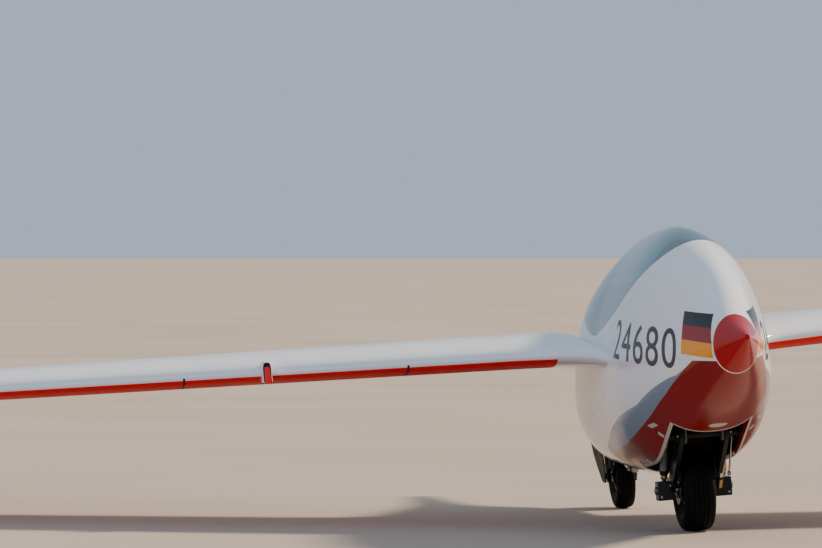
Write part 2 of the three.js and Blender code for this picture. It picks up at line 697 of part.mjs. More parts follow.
// Instrument panel on its pedestal, under a thin hood
const panelStations = [hood.y0 - panel.reach, hoodMiddle, hood.y1 + panel.reach - 2];
const hoodOuter = fuselageLoft([hood.y0, hoodMiddle, hood.y1], hood.inset);
const hoodInner = fuselageLoft(panelStations, hood.inset + hood.thick);
piece('panel_hood', hoodOuter.subtract(hoodInner)
  .intersect(box(-hood.half, hood.half, hood.y0 - 70, hood.y1 + 88, hood.bottom, aboveAll)), blackMetal);
const wellCover = frontWell.top + wellWall + seatGap;
piece('instrument_panel', fuselageLoft(panelStations, hood.inset + hood.thick + seatGap)
  .intersect(box(-hood.half, hood.half, panel.y0, panel.y1, panel.bottom, aboveAll))
  .add(box(-pedestal.half, pedestal.half, pedestal.y0, pedestal.y1, wellCover, pedestal.top)), grey);

// Control stick and rudder pedals
piece('control_stick', union([
  rod([0, stick.y, wellCover], [0, stick.y, wellCover + stick.footHeight], stick.footRadius, 16),
  rod([0, stick.y, wellCover + 10], [0, stick.bendY, stick.bendZ], 8, 10),
  rod([0, stick.bendY, stick.bendZ - 10], [0, stick.topY, stick.topZ], 15, 12),
]), blackMetal);
piece('rudder_pedals', union([crossBar(-pedals.half, pedals.half, pedals, pedals.radius, 12),
  ...sides.map(({ side }) => sidePlate(pedalPlate, side * pedals.inner, side * pedals.outer))])
  .intersect(fittingInner), blackMetal);

// ---------- Front gear ----------
const beyondWell = 200;
const frontAxle = { y: frontWheel.y, z: frontWheel.radius };
const wellFace = frontWell.half - seatGap;
piece('front_gear_frame', union([
  crossBar(-wellFace, wellFace, gearPivot, gearPivot.radius, 16),
  crossBar(-wellFace, wellFace, shockTop, shockTop.radius, 12),
  ...sides.map(({ side }) => sidePlate(railOutline, side * railInner, side * wellFace)),
]), blackMetal);
for (const { label, side } of sides) {
  piece(`swing_arm_${label}`, sidePlate(armOutline, side * arm.inner, side * arm.outer)
    .add(box(side * arm.inner, side * axleBlock.outer, axleBlock.y0, axleBlock.y1, axleBlock.z0, axleBlock.z1))
    .subtract(crossBar(-beyondWell, beyondWell, gearPivot, gearPivot.radius + 2 * seatGap, 16))
    .subtract(crossBar(-beyondWell, beyondWell, frontAxle, axleHole, 12)), blackMetal);
  const foot = [side * shock.x, shock.y, axleBlock.z1 + shock.lift];
  const top = along([side * shock.x, shockTop.y, shockTop.z], foot, shockTop.radius + 2 * seatGap);
  const length = new THREE.Vector3(...foot).distanceTo(new THREE.Vector3(...top));
  const up = (distance) => along(foot, top, distance);
  piece(`shock_${label}`, union([
    rod(foot, top, shock.rod, 12),
    rod(up(30), top, shock.body, 16),
    ...shockCollars.map(({ from, to, fromEnd, toEnd }) => rod(up(from ?? length - fromEnd), up(to ?? length - toEnd),
      shock.collar, 16)),
  ]), steel);
}
// An axle with a hexagonal head on each end
function axle(centre, half, nut) {
  return union([
    crossBar(-half, half, centre, axleRadius, 12),
    crossBar(half, half + nut.length, centre, nut.radius, 6),
    crossBar(-half - nut.length, -half, centre, nut.radius, 6),
  ]);
}
piece('front_axle', axle(frontAxle, axleBlock.outer + seatGap, frontNut), steel);
piece('brake_caliper', box(caliper.x0, caliper.x1, caliper.y0, caliper.y1, caliper.z0, caliper.z1), blackMetal);
const discProfile = [
  [disc.x0, disc.inner],
  [disc.x1, disc.inner],
  [disc.x1, disc.outer],
  [disc.x0, disc.outer],
];
piece('brake_disc', turned(discProfile, frontAxle.y, frontAxle.z, 32), steel);

// ---------- Rear gear ----------
const rearAxle = { y: rearWheel.y, z: rearWheel.radius };
piece('rear_fork', union([
  ...sides.map(({ side }) => sidePlate(forkOutline, side * fork.inner, side * fork.outer)),
  box(-fork.outer, fork.outer, fork.bridgeY0, fork.bridgeY1, fork.bridgeZ, rearWell.top - seatGap),
]).subtract(crossBar(-beyondWell, beyondWell, rearAxle, axleHole, 12)), blackMetal);
piece('rear_axle', axle(rearAxle, fork.outer + seatGap, rearNut), steel);
piece('rear_gear_door', loft(doorRows.map(({ x, y0, y1, z }) => [
  [x, y0, z], [x + doorThickness, y0, z], [x + doorThickness, y1, z], [x, y1, z]])).subtract(outerGrown), blackMetal);
piece('tow_hook', sidePlate(hookOutline, -hookHalf, hookHalf).subtract(outerGrown), steel);

// ---------- Wheels ----------
// Half profiles as shares of the half width and of the height above the bead
const tyreShares = [
  { across: 0.55, up: 0 },
  { across: 0.86, up: 0.3 },
  { across: 1, up: 0.55 },
  { across: 0.93, up: 0.8 },
  { across: 0.66, up: 0.945 },
];
function tyreProfile({ half, radius }, beadRadius) {
  const side = tyreShares.map(({ across, up }) => [half * across, beadRadius + (radius - beadRadius) * up]);
  return [...side.map(([x, r]) => [-x, r]), [0, radius], ...[...side].reverse()];
}
function rimProfile(half, beadRadius, hub) {
  const side = [
    [hub, rimBore],
    [hub, rimBore + 14],
    [half * 0.3, rimBore + 18],
    [half * 0.35, beadRadius - 16],
    [half * 0.62, beadRadius - 10],
    [half * 0.62, beadRadius - seatGap],
  ];
  return [...side.map(([x, r]) => [-x, r]), ...side.reverse()];
}
for (const { end, wheel, segments } of [
  { end: 'front', wheel: frontWheel, segments: 48 },
  { end: 'rear', wheel: rearWheel, segments: 40 },
]) {
  piece(`${end}_tyre`, turned(tyreProfile(wheel, bead[end]), wheel.y, wheel.radius, segments), rubber);
  piece(`${end}_rim`, turned(rimProfile(wheel.half, bead[end], hubHalf[end]), wheel.y, wheel.radius, 32), steel);
}

// ---------- The banked group ----------
const banked = new THREE.Group();
for (const { name, solid, material } of pieces) {
  const { vertProperties, triVerts } = solid.getMesh();
  const geometry = new THREE.BufferGeometry();
  geometry.setAttribute('position', new THREE.BufferAttribute(vertProperties, 3));
  geometry.setIndex(new THREE.BufferAttribute(triVerts, 1));
  geometry.computeVertexNormals();
  const mesh = new THREE.Mesh(geometry, material);
  mesh.name = name;
  banked.add(mesh);
}
banked.rotation.y = -THREE.MathUtils.degToRad(bankDegrees);
const group = new THREE.Group();
group.add(banked);
group.updateMatrixWorld(true);
const bounds = new THREE.Box3().setFromObject(group, true);
const centre = bounds.getCenter(new THREE.Vector3());
banked.position.set(-centre.x, -centre.y, -bounds.min.z);
group.updateMatrixWorld(true);

export default group;
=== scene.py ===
# Looks of a tailless single-seat sailplane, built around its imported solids.
# Metres. Pieces are built level, nose tip at y = 0 and ground at z = 0, then banked into the frame.
from math import asin, atan2, copysign, cos, exp, hypot, pi, radians, sin, sqrt, tan

import bmesh
import bpy
import numpy as np
from mathutils import Matrix, Vector
from mathutils.bvhtree import BVHTree


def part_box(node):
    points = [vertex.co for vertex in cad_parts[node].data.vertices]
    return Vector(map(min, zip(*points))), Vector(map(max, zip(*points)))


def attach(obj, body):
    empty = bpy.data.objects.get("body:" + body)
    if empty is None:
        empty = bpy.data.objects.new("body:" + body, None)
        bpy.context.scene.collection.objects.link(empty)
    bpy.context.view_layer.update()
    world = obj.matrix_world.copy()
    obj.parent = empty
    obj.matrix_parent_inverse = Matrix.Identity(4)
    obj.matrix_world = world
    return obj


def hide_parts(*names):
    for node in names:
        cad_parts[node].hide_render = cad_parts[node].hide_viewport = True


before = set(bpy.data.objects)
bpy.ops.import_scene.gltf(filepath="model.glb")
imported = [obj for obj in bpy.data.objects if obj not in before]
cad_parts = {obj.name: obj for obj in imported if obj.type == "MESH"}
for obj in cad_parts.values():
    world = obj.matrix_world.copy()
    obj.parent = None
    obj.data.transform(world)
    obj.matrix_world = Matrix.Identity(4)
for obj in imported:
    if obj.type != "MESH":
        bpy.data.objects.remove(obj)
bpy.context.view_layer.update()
print("frame loaded,", len(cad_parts), "nodes")

bank = radians(4.55)  # right wing down, on its skid
wheels = {
    "front": {"y": 1.160, "radius": 0.145, "half": 0.054, "bead": 0.062, "hub": 0.050, "grooves": 4},
    "rear": {"y": 2.643, "radius": 0.120, "half": 0.035, "bead": 0.054, "hub": 0.034, "grooves": 3},
}
axles = {end: Vector((0, wheel["y"], wheel["radius"])) for end, wheel in wheels.items()}
tilt = Matrix.Rotation(-bank, 4, "Y")
tyreLow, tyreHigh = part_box("front_tyre")
toFrame = Matrix.Translation((tyreLow + tyreHigh) / 2 - tilt @ axles["front"]) @ tilt
toLevel = toFrame.inverted()
sides = (("left", 1), ("right", -1))


def addObject(name, data):
    thing = bpy.data.objects.new(name, data)
    bpy.context.scene.collection.objects.link(thing)
    return thing


# The camera stands 16 m from the front wheel, turned right of straight aft and a little down
camera = {"place": (-2.7776, -16.735, 0.91), "heading": 6.895, "down": 0.19, "lens": 210.2, "sensor": 36,
          "reach": 20000}
optics = bpy.data.cameras.new("camera")
optics.lens, optics.sensor_width, optics.clip_end = camera["lens"], camera["sensor"], camera["reach"]
viewer = addObject("camera", optics)
viewer.location = camera["place"]
viewer.rotation_euler = (radians(90 - camera["down"]), 0, -radians(camera["heading"]))
bpy.context.scene.camera = viewer


def linear(colour, share=1.0):
    # sRGB hex to the linear colour that a shader takes, or a darker share of it
    parts = [int(colour[i:i + 2], 16) / 255 for i in (1, 3, 5)]
    return tuple(share * (c / 12.92 if c <= 0.04045 else ((c + 0.055) / 1.055) ** 2.4) for c in parts) + (1.0,)


# A warm soft key from behind on the left wing's side, a cool panel from the right wing's side
studio = {
    "keyLight": {"kind": "SUN", "place": (7.5, 3.4, 6.4), "aim": (0, 0, 0), "angle": radians(7), "energy": 5.6,
                 "colour": "#ffe9cf"},
    "fillLight": {"kind": "AREA", "place": (-12, -16, 9), "aim": (0, 0, 0.6), "size": 9, "energy": 900,
                  "colour": "#a9c6f5"},
}
for name, light in studio.items():
    data = bpy.data.lights.new(name, light["kind"])
    for setting in ("angle", "size", "energy"):
        if setting in light:
            setattr(data, setting, light[setting])
    data.color = linear(light["colour"])[:3]
    lamp = addObject(name, data)
    lamp.location = light["place"]
    lamp.rotation_euler = (Vector(light["aim"]) - lamp.location).to_track_quat("-Z", "Y").to_euler()

world = bpy.data.worlds.new("studio")
world.use_nodes = True
world.node_tree.nodes["Background"].inputs["Color"].default_value = linear("#b7c3d3")
world.node_tree.nodes["Background"].inputs["Strength"].default_value = 0.95
bpy.context.scene.world = world


def addNode(tree, kind, inputs=None, **settings):
    # one node with its settings and links; its first output goes on to the next
    node = tree.nodes.new("ShaderNode" + kind)
    for name, value in settings.items():
        setattr(node, name, value)
    for name, value in (inputs or {}).items():
        if isinstance(value, bpy.types.NodeSocket):
            tree.links.new(value, node.inputs[name])
        else:
            node.inputs[name].default_value = value
    return node.outputs[0] if node.outputs else None


def startMaterial(name, **values):
    material = bpy.data.materials.new(name)
    material.use_nodes = True
    tree = material.node_tree
    tree.nodes.clear()
    surface = addNode(tree, "BsdfPrincipled", {key.replace("_", " "): value for key, value in values.items()})
    addNode(tree, "OutputMaterial", {"Surface": surface})
    return tree, surface.node


def levelPoint(tree):
    # the place on the piece in level metres: across, aft of the nose, above the ground
    place = addNode(tree, "TexCoord").node.outputs["Object"]
    turned = addNode(tree, "Mapping", {"Vector": place, "Rotation": (0, bank, 0),
                                       "Location": toLevel.to_translation()}, vector_type="POINT")
    return turned, *addNode(tree, "SeparateXYZ", {"Vector": turned}).node.outputs


def lineAlong(tree, along, points):
    # the height of a drawn line at each place along it
    (first, last), (low, high) = ((min(column), max(column)) for column in zip(*points))
    share = addNode(tree, "MapRange", {"Value": along, "From Min": first, "From Max": last})
    curve = addNode(tree, "FloatCurve", {"Value": share})
    mapping = curve.node.mapping
    spline = mapping.curves[0]
    while len(spline.points) < len(points):
        spline.points.new(0.5, 0.5)
    for place, (a, h) in zip(spline.points, points):
        place.location = ((a - first) / (last - first), (h - low) / (high - low))
        place.handle_type = "VECTOR"
    mapping.update()
    return addNode(tree, "MapRange", {"Value": curve, "To Min": low, "To Max": high})


def painted(tree, mask, under, over):
    # a paint film laid over another where the mask is 1
    mix = addNode(tree, "Mix", {0: mask, 6: under, 7: over}, data_type="RGBA")
    return mix.node.outputs[2]


def grain(tree, point, size, low, high, detail=3.0):
    # soft variation between two values, with a feature size in metres
    noise = addNode(tree, "TexNoise", {"Vector": point, "Scale": 1 / size, "Detail": detail})
    return addNode(tree, "MapRange", {"Value": noise, "From Min": 0.3, "From Max": 0.7,
                                      "To Min": low, "To Max": high})


def shaded(tree, colour, amount, point, size):
    # the colour a little darker in soft patches
    return painted(tree, grain(tree, point, size, 0, 1), linear(colour), linear(colour, 1 - amount))


def bumped(tree, shader, height, distance, strength):
    bump = addNode(tree, "Bump", {"Height": height, "Distance": distance, "Strength": strength})
    tree.links.new(bump, shader.inputs["Normal"])


def overlap(tree, first, *others):
    # 1 where all the masks are 1
    for mask in others:
        first = addNode(tree, "Math", {0: first, 1: mask}, operation="MULTIPLY")
    return first


def between(tree, value, low=None, high=None):
    # 1 where the value lies past the low limit and short of the high one
    return overlap(tree, *[addNode(tree, "Math", {0: value, 1: limit}, operation=test)
                           for test, limit in (("GREATER_THAN", low), ("LESS_THAN", high)) if limit is not None])


def filmGloss(tree, shader, masks, rougher):
    # colour film reflects less sharply than the polished gelcoat around it
    film = masks[0]
    for mask in masks[1:]:
        film = addNode(tree, "Math", {0: film, 1: mask}, operation="MAXIMUM")
    gloss = {0: film, 1: rougher, 2: shader.inputs["Roughness"].links[0].from_socket}
    tree.links.new(addNode(tree, "Math", gloss, operation="MULTIPLY_ADD"), shader.inputs["Roughness"])


# Polyester gelcoat, sanded and polished: deep gloss, with faint waves and a film of dust on top
def gelcoat(name, colour, roughness=0.09, specular=0.28):
    tree, shader = startMaterial(name, IOR=1.5, Specular_IOR_Level=specular)
    point, across, aft, high = levelPoint(tree)
    tree.links.new(shaded(tree, colour, 0.05, point, 0.6), shader.inputs["Base Color"])
    tree.links.new(grain(tree, point, 0.25, roughness - 0.03, roughness + 0.05), shader.inputs["Roughness"])
    bumped(tree, shader, grain(tree, point, 0.09, 0, 1, 1.0), 0.0002, 0.35)
    return tree, shader, point, across, aft, high


paints = {"white": "#eceef0", "red": "#8c0004", "cap": "#a80410", "stripe": "#f80c14", "swoosh": "#7f8fa0",
          "flagBlack": "#141d22", "flagRed": "#8f0a0e", "flagGold": "#f59a05", "ring": "#f4f1ec", "line": "#85888d",
          "tape": "#1a1c1f"}
gelcoat("whiteGelcoat", paints["white"])
gelcoat("redGelcoat", paints["cap"], 0.12, 0.2)  # the nose cap's deep red, a little duller

livery = {
    "ringEnd": 0.2105,  # white band where the nose cap meets the fuselage
    "redTop": [(0.205, 0.594), (0.362, 0.597), (0.418, 0.573), (0.480, 0.544), (0.608, 0.484), (0.650, 0.468),
               (0.796, 0.412), (0.888, 0.379), (0.998, 0.344), (1.152, 0.312), (1.430, 0.279), (1.654, 0.262),
               (1.750, 0.252)],
    "redBottom": [(1.200, 0.150), (1.280, 0.199), (1.420, 0.203), (1.550, 0.209), (1.680, 0.235), (1.760, 0.258)],
    "swooshTop": [(0.418, 0.573), (0.490, 0.550), (0.540, 0.542), (0.610, 0.524), (0.680, 0.505), (0.780, 0.475),
                  (0.852, 0.450), (1.006, 0.420), (1.172, 0.388), (1.338, 0.354), (1.454, 0.323), (1.582, 0.296),
                  (1.678, 0.275), (1.745, 0.248)],
    "flagFront": [(0.600, 0.221), (0.649, 0.213), (0.693, 0.233), (0.740, 0.262)],  # height, then how far aft
    "flagBack": [(0.600, 0.4445), (0.680, 0.440), (0.760, 0.446)],
    "flagSteps": (0.602, 0.649, 0.695, 0.7375),
    "flagRise": 0.068,
    "seamLine": [(1.280, 0.481), (1.352, 0.465), (1.400, 0.452), (1.488, 0.425), (1.624, 0.400), (1.796, 0.375),
                 (1.898, 0.353), (1.998, 0.318), (2.068, 0.284)],
    "lineHalf": 0.0016,
}
wingLivery = {
    "top": [(0.25, 0.5985), (0.52, 0.607), (2.75, 0.636), (4.95, 0.665), (7.06, 0.694), (7.465, 0.700)],
    "back": [(0.25, 1.70), (0.52, 1.83), (2.75, 2.47), (4.95, 3.10), (7.06, 3.69), (7.465, 3.81)],
    "start": (0.392, 0.292),  # right wing, left wing
    "joints": (0.88, 1.625),  # cross seams in the stripe's film
    "jointHalf": 0.0035,
    "jointRise": 0.008,
}


# The same gelcoat with its livery sprayed on: red belly, blue-grey swoosh and three flag bars
def liveryGelcoat():
    tree, shader, point, across, aft, high = gelcoat("liveryGelcoat", paints["white"])
    bottom, redTop, swooshTop, seam = (lineAlong(tree, aft, livery[name])
                                       for name in ("redBottom", "redTop", "swooshTop", "seamLine"))
    front, back = (lineAlong(tree, high, livery[name]) for name in ("flagFront", "flagBack"))

    def alongLine(name):
        return between(tree, aft, livery[name][0][0], livery[name][-1][0])

    swoosh = overlap(tree, between(tree, high, bottom, swooshTop), alongLine("swooshTop"))
    red = overlap(tree, between(tree, high, bottom, redTop), between(tree, aft, high=livery["redTop"][-1][0]))
    # the flag's bars rise towards the back
    low, goldTop, redHigh, top = livery["flagSteps"]
    rise, start = livery["flagRise"], livery["flagFront"][1][1]
    onFlag = addNode(tree, "Math", {0: aft, 1: -rise, 2: high}, operation="MULTIPLY_ADD")
    onFlag = addNode(tree, "Math", {0: onFlag, 1: start * rise}, operation="ADD")
    flag = overlap(tree, between(tree, aft, front, back), between(tree, onFlag, low, top))
    bars = painted(tree, between(tree, onFlag, goldTop), linear(paints["flagGold"]), linear(paints["flagRed"]))
    bars = painted(tree, between(tree, onFlag, redHigh), bars, linear(paints["flagBlack"]))
    away = addNode(tree, "Math", {0: high, 1: seam}, operation="SUBTRACT")
    line = overlap(tree, between(tree, away, -livery["lineHalf"], livery["lineHalf"]), alongLine("seamLine"))
    colour = shader.inputs["Base Color"].links[0].from_socket
    for mask, film in ((swoosh, linear(paints["swoosh"])), (red, shaded(tree, paints["red"], 0.12, point, 0.3)),
                       (flag, bars), (line, linear(paints["line"])),
                       (between(tree, aft, high=livery["ringEnd"]), linear(paints["ring"]))):
        colour = painted(tree, mask, colour, film)
    tree.links.new(colour, shader.inputs["Base Color"])
    filmGloss(tree, shader, (red, swoosh, flag), 0.08)


# Wing gelcoat with the bright red warning stripe under its leading edge, and black tape across two joints
def wingGelcoat():
    tree, shader, point, across, aft, high = gelcoat("wingGelcoat", paints["white"])
    outward = addNode(tree, "Math", {0: across}, operation="ABSOLUTE")
    top, back = (lineAlong(tree, outward, wingLivery[name]) for name in ("top", "back"))
    below = addNode(tree, "Math", {0: top, 1: high}, operation="SUBTRACT")
    onLower = between(tree, aft, high=back)
    right, left = wingLivery["start"]
    start = addNode(tree, "MapRange", {"Value": between(tree, across, 0), "To Min": right, "To Max": left})
    stripe = overlap(tree, between(tree, below, 0), onLower, between(tree, outward, start))
    colour = painted(tree, stripe, shader.inputs["Base Color"].links[0].from_socket,
                     shaded(tree, paints["stripe"], 0.1, point, 0.3))
    for joint in wingLivery["joints"]:
        tick = between(tree, outward, joint - wingLivery["jointHalf"], joint + wingLivery["jointHalf"])
        tick = overlap(tree, tick, between(tree, below, -wingLivery["jointRise"]), onLower)
        colour = painted(tree, tick, colour, linear(paints["tape"]))
    tree.links.new(colour, shader.inputs["Base Color"])
    filmGloss(tree, shader, (stripe,), 0.5)


liveryGelcoat()
wingGelcoat()

# Blown acrylic sheet with a blue-green tint: clear, hard and glossy, so it shows the light and the cockpit
tree, shader = startMaterial("tintedAcrylic", IOR=1.49, Specular_IOR_Level=0.22, Transmission_Weight=1.0,
                             Roughness=0.015)
tree.links.new(shaded(tree, "#66c6d4", 0.12, levelPoint(tree)[0], 0.5), shader.inputs["Base Color"])


# Painted or coated metals and plastics share one build: base colour in soft patches and fine surface grain
def finish(name, colour, roughness, metallic, grainSize, grainDepth, patch, **values):
    tree, shader = startMaterial(name, Metallic=metallic, **values)
    point = levelPoint(tree)[0]
    tree.links.new(shaded(tree, colour, patch, point, 0.05), shader.inputs["Base Color"])
    tree.links.new(grain(tree, point, 0.03, roughness - 0.06, roughness + 0.08), shader.inputs["Roughness"])
    bumped(tree, shader, grain(tree, point, grainSize, 0, 1), grainDepth, 0.5)
    return tree, shader


# colour, roughness, metallic, grain size and depth, how much darker the patches are
finishes = {
    # ground steel of axles and discs: grey and smooth, with tight highlights
    "groundSteel": ("#8f9296", 0.24, 1.0, 0.0015, 0.00005, 0.15),
    # hard-chromed piston rods: mirror-like
    "chromedSteel": ("#d8d6d2", 0.09, 1.0, 0.01, 0.00001, 0.03),
    # gold-anodised adjusters: warm satin metal
    "goldAnodised": ("#c6a06c", 0.3, 1.0, 0.003, 0.00005, 0.15),
    # black-anodised milled blocks and rims: dark satin metal; on the rims the dark colour is also painted shade for
    # the shadow round the wheels
    "blackAnodised": ("#121b1c", 0.36, 0.6, 0.002, 0.00005, 0.15),
    # grey painted shock bodies and brackets: half matt
    "greyPaint": ("#74797c", 0.42, 0.0, 0.004, 0.00004, 0.2),
    # dark grey paint on the brackets in the well: half matt, darker than the shock
    "slatePaint": ("#43484b", 0.45, 0.0, 0.004, 0.00004, 0.2),
    # pale grey paint on clamps: stands out from the grey tube
    "palePaint": ("#a9adae", 0.38, 0.0, 0.004, 0.00004, 0.2),
    # grey interior lacquer on the laminate: dull and slightly uneven
    "greyLacquer": ("#5d6367", 0.5, 0.0, 0.003, 0.00005, 0.2),
    # bare dark laminate inside the wells: nearly black, uneven
    "darkLaminate": ("#1c1e20", 0.6, 0.0, 0.004, 0.0001, 0.3),
    # edge strips and latches of the gear opening: a pale line around the dark well
    "paleStrip": ("#c9c5ba", 0.4, 0.0, 0.004, 0.00004, 0.2),
    # red cover film and button: bright and half glossy
    "redFilm": ("#f21c12", 0.35, 0.0, 0.01, 0.00003, 0.15),
    # dial faces under glass: black and glossy
    "dialFace": ("#0d0e10", 0.2, 0.0, 0.01, 0.00001, 0.1),
    # printed marks and hands on the dials: plain white
    "dialWhite": ("#dfe0dc", 0.4, 0.0, 0.01, 0.00001, 0.05),
    # moulded lever knobs: strong plain colours, half glossy
    "yellowKnob": ("#d9a514", 0.35, 0.0, 0.01, 0.00001, 0.1),
    "blueKnob": ("#1f4f9a", 0.35, 0.0, 0.01, 0.00001, 0.1),
    # cut film of the side numbers: dark blue-grey, slightly dull beside the gelcoat
    "numberFilm": ("#171d27", 0.34, 0.0, 0.01, 0.00002, 0.1),
}
for name, values in finishes.items():
    finish(name, *values, IOR=1.5)
# moulded tyre rubber: nearly black, dull, dusty in patches
finish("tyreRubber", "#08090a", 0.74, 0.0, 0.003, 0.0002, 0.3, IOR=1.52, Specular_IOR_Level=0.12)
# black powder coat on welded gear tubes: dull black with a fine pebble
finish("blackPowderCoat", "#0b0c0e", 0.6, 0.0, 0.0025, 0.0001, 0.2, IOR=1.5, Specular_IOR_Level=0.25)
# matt black moulded ABS of hood, panel and grips: soft wide highlights
finish("blackAbs", "#15171a", 0.58, 0.0, 0.0015, 0.00006, 0.15, IOR=1.54)


# Woven polyester with a soft sheen: crossing threads, drawn 3 to 4 mm apart so that they show; real ones are 1 mm
def woven(name, colour, thread):
    tree, shader = startMaterial(name, Roughness=0.88, Sheen_Weight=0.3, Sheen_Roughness=0.4)
    point = levelPoint(tree)[0]
    waves = [addNode(tree, "TexWave", {"Vector": point, "Scale": pi / (thread * 10)}, bands_direction=axis).node
             for axis in "XZ"]
    weave = addNode(tree, "Math", {i: wave.outputs["Fac"] for i, wave in enumerate(waves)}, operation="MAXIMUM")
    tree.links.new(painted(tree, weave, linear(colour, 0.55), shaded(tree, colour, 0.2, point, 0.08)),
                   shader.inputs["Base Color"])
    bumped(tree, shader, weave, 0.0004, 0.6)


woven("seatCloth", "#39414f", 0.004)  # dark blue-grey upholstery, soft and matt
woven("harnessWebbing", "#2a3d63", 0.003)  # tighter and bluer, so the belts stand out from the cushions

# Milled aluminium of the airbrakes: grey satin metal; the cap on top is sprayed white like the wing around it
tree, shader = finish("cappedAluminium", "#8d9194", 0.3, 1.0, 0.002, 0.00005, 0.15)
facing = addNode(tree, "SeparateXYZ", {"Vector": addNode(tree, "TexCoord").node.outputs["Normal"]}).node
sprayed = between(tree, facing.outputs[2], 0.7)
milled = shader.inputs["Base Color"].links[0].from_socket
tree.links.new(painted(tree, sprayed, milled, linear(paints["white"])), shader.inputs["Base Color"])
bare = addNode(tree, "MapRange", {"Value": sprayed, "To Min": 1.0, "To Max": 0.0})
tree.links.new(bare, shader.inputs["Metallic"])

# Cast concrete, swept and pale: dull and lightly mottled
tree, shader = startMaterial("paleConcrete", Roughness=0.85, IOR=1.5)
spot = addNode(tree, "TexCoord").node.outputs["Object"]
tree.links.new(painted(tree, grain(tree, spot, 3.0, 0, 1, 5.0), linear("#b9ab9b"), linear("#ab9d8d")),
               shader.inputs["Base Color"])
bumped(tree, shader, grain(tree, spot, 0.02, 0, 1), 0.0008, 0.4)
floorMesh = bpy.data.meshes.new("floor")
reach = 6000
floorMesh.from_pydata([(-reach, -reach, 0), (reach, -reach, 0), (reach, reach, 0), (-reach, reach, 0)], [],
                      [(0, 1, 2, 3)])
floorMesh.materials.append(bpy.data.materials["paleConcrete"])
addObject("floor", floorMesh)
print("studio and materials ready")


# Mesh helpers
def addRings(bm, rings, caps=(True, True), slot=0):
    rows = [[bm.verts.new(tuple(p)) for p in ring] for ring in rings]
    count = len(rows[0])
    made = [bm.faces.new((near[i], near[(i + 1) % count], far[(i + 1) % count], far[i]))
            for near, far in zip(rows, rows[1:]) for i in range(count)]
    made += [bm.faces.new(row) for row, wanted in zip((rows[0], rows[-1]), caps) if wanted]
    for face in made:
        face.material_index = slot


def framed(axis):
    # two directions square to an axis
    axis = Vector(axis).normalized()
    side = axis.cross(Vector((0, 0, 1) if abs(axis.z) < 0.9 else (1, 0, 0))).normalized()
    return axis, side, side.cross(axis)


def circle(middle, u, v, radius, count, start=0.0):
    return [middle + (u * cos(a) + v * sin(a)) * radius for a in (start + 2 * pi * i / count for i in range(count))]


def addTurned(bm, profile, centre, axis=(1, 0, 0), around=48, slot=0, closed=False, start=0.0):
    # profile rows are (distance along the axis, radius)
    axis, u, v = framed(axis)
    addRings(bm, [circle(Vector(centre) + axis * along, u, v, radius, around, start)
                  for along, radius in profile + (profile[:1] if closed else [])], (not closed, not closed), slot)


def addRod(bm, a, b, radius, around=20, slot=0, radiusTo=None, bevel=0.0):
    a, b = Vector(a), Vector(b)
    length, end = (b - a).length, radiusTo or radius
    profile = [(0, radius), (length, end)]
    if bevel:
        profile = [(0, radius - bevel), (bevel, radius), (length - bevel, end), (length, end - bevel)]
    addTurned(bm, profile, a, b - a, around, slot)


def addTube(bm, path, radius, around=10, slot=0, steps=8):
    # a bent tube through the points of a path
    points = [Vector(p) for p in path]
    padded = [2 * points[0] - points[1]] + points + [2 * points[-1] - points[-2]]
    line = []
    for a, b, c, d in zip(padded, padded[1:], padded[2:], padded[3:]):
        for t in (i / steps for i in range(steps)):
            bend = (2 * a - 5 * b + 4 * c - d) * t ** 2 + (3 * b - a - 3 * c + d) * t ** 3
            line.append(b + 0.5 * ((c - a) * t + bend))
    line.append(points[-1])
    side = framed(line[1] - line[0])[1]
    rings = []
    for before, middle, after in zip(line[:1] + line, line, line[1:] + line[-1:]):
        way = (after - before).normalized()
        side = (side - way * side.dot(way)).normalized()
        rings.append(circle(middle, side, way.cross(side), radius, around))
    addRings(bm, rings, slot=slot)


def addPlate(bm, outline, x0, x1, slot=0):
    # a side outline of (aft, height) points, as thick as x0 to x1
    addRings(bm, [[(x, y, z) for y, z in outline] for x in (x0, x1)], slot=slot)


def addBlock(bm, low, high, slot=0):
    (x0, y0, z0), (x1, y1, z1) = low, high
    addPlate(bm, [(y0, z0), (y1, z0), (y1, z1), (y0, z1)], x0, x1, slot)


def addBolt(bm, centre, axis, size, slot):
    # a hexagon head on a washer
    addTurned(bm, [(0, size * 0.95), (size * 0.18, size * 0.95)], centre, axis, 20, slot)
    addTurned(bm, [(0, size * 0.7), (size * 0.5, size * 0.7), (size * 0.6, size * 0.58)],
              Vector(centre) + Vector(axis).normalized() * size * 0.18, axis, 6, slot)


def addModifier(piece, kind, **settings):
    modifier = piece.modifiers.new(kind.lower(), kind)
    for name, value in settings.items():
        setattr(modifier, name, value)
    return modifier


def roundEdges(piece, width):
    addModifier(piece, "BEVEL", width=width, segments=2, limit_method="ANGLE", angle_limit=radians(40))


def settle(piece):
    # modifiers turned into plain mesh
    graph = bpy.context.evaluated_depsgraph_get()
    mesh = bpy.data.meshes.new_from_object(piece.evaluated_get(graph), preserve_all_data_layers=True,
                                           depsgraph=graph)
    piece.modifiers.clear()
    piece.data = mesh


def banked(name, bm):
    # level geometry as an object in the shared frame
    bm.transform(toFrame)
    mesh = bpy.data.meshes.new(name)
    bm.to_mesh(mesh)
    bm.free()
    return addObject(name, mesh)


def smoothed(piece, sharp=35):
    piece.data.shade_smooth()
    piece.data.set_sharp_from_angle(angle=radians(sharp))


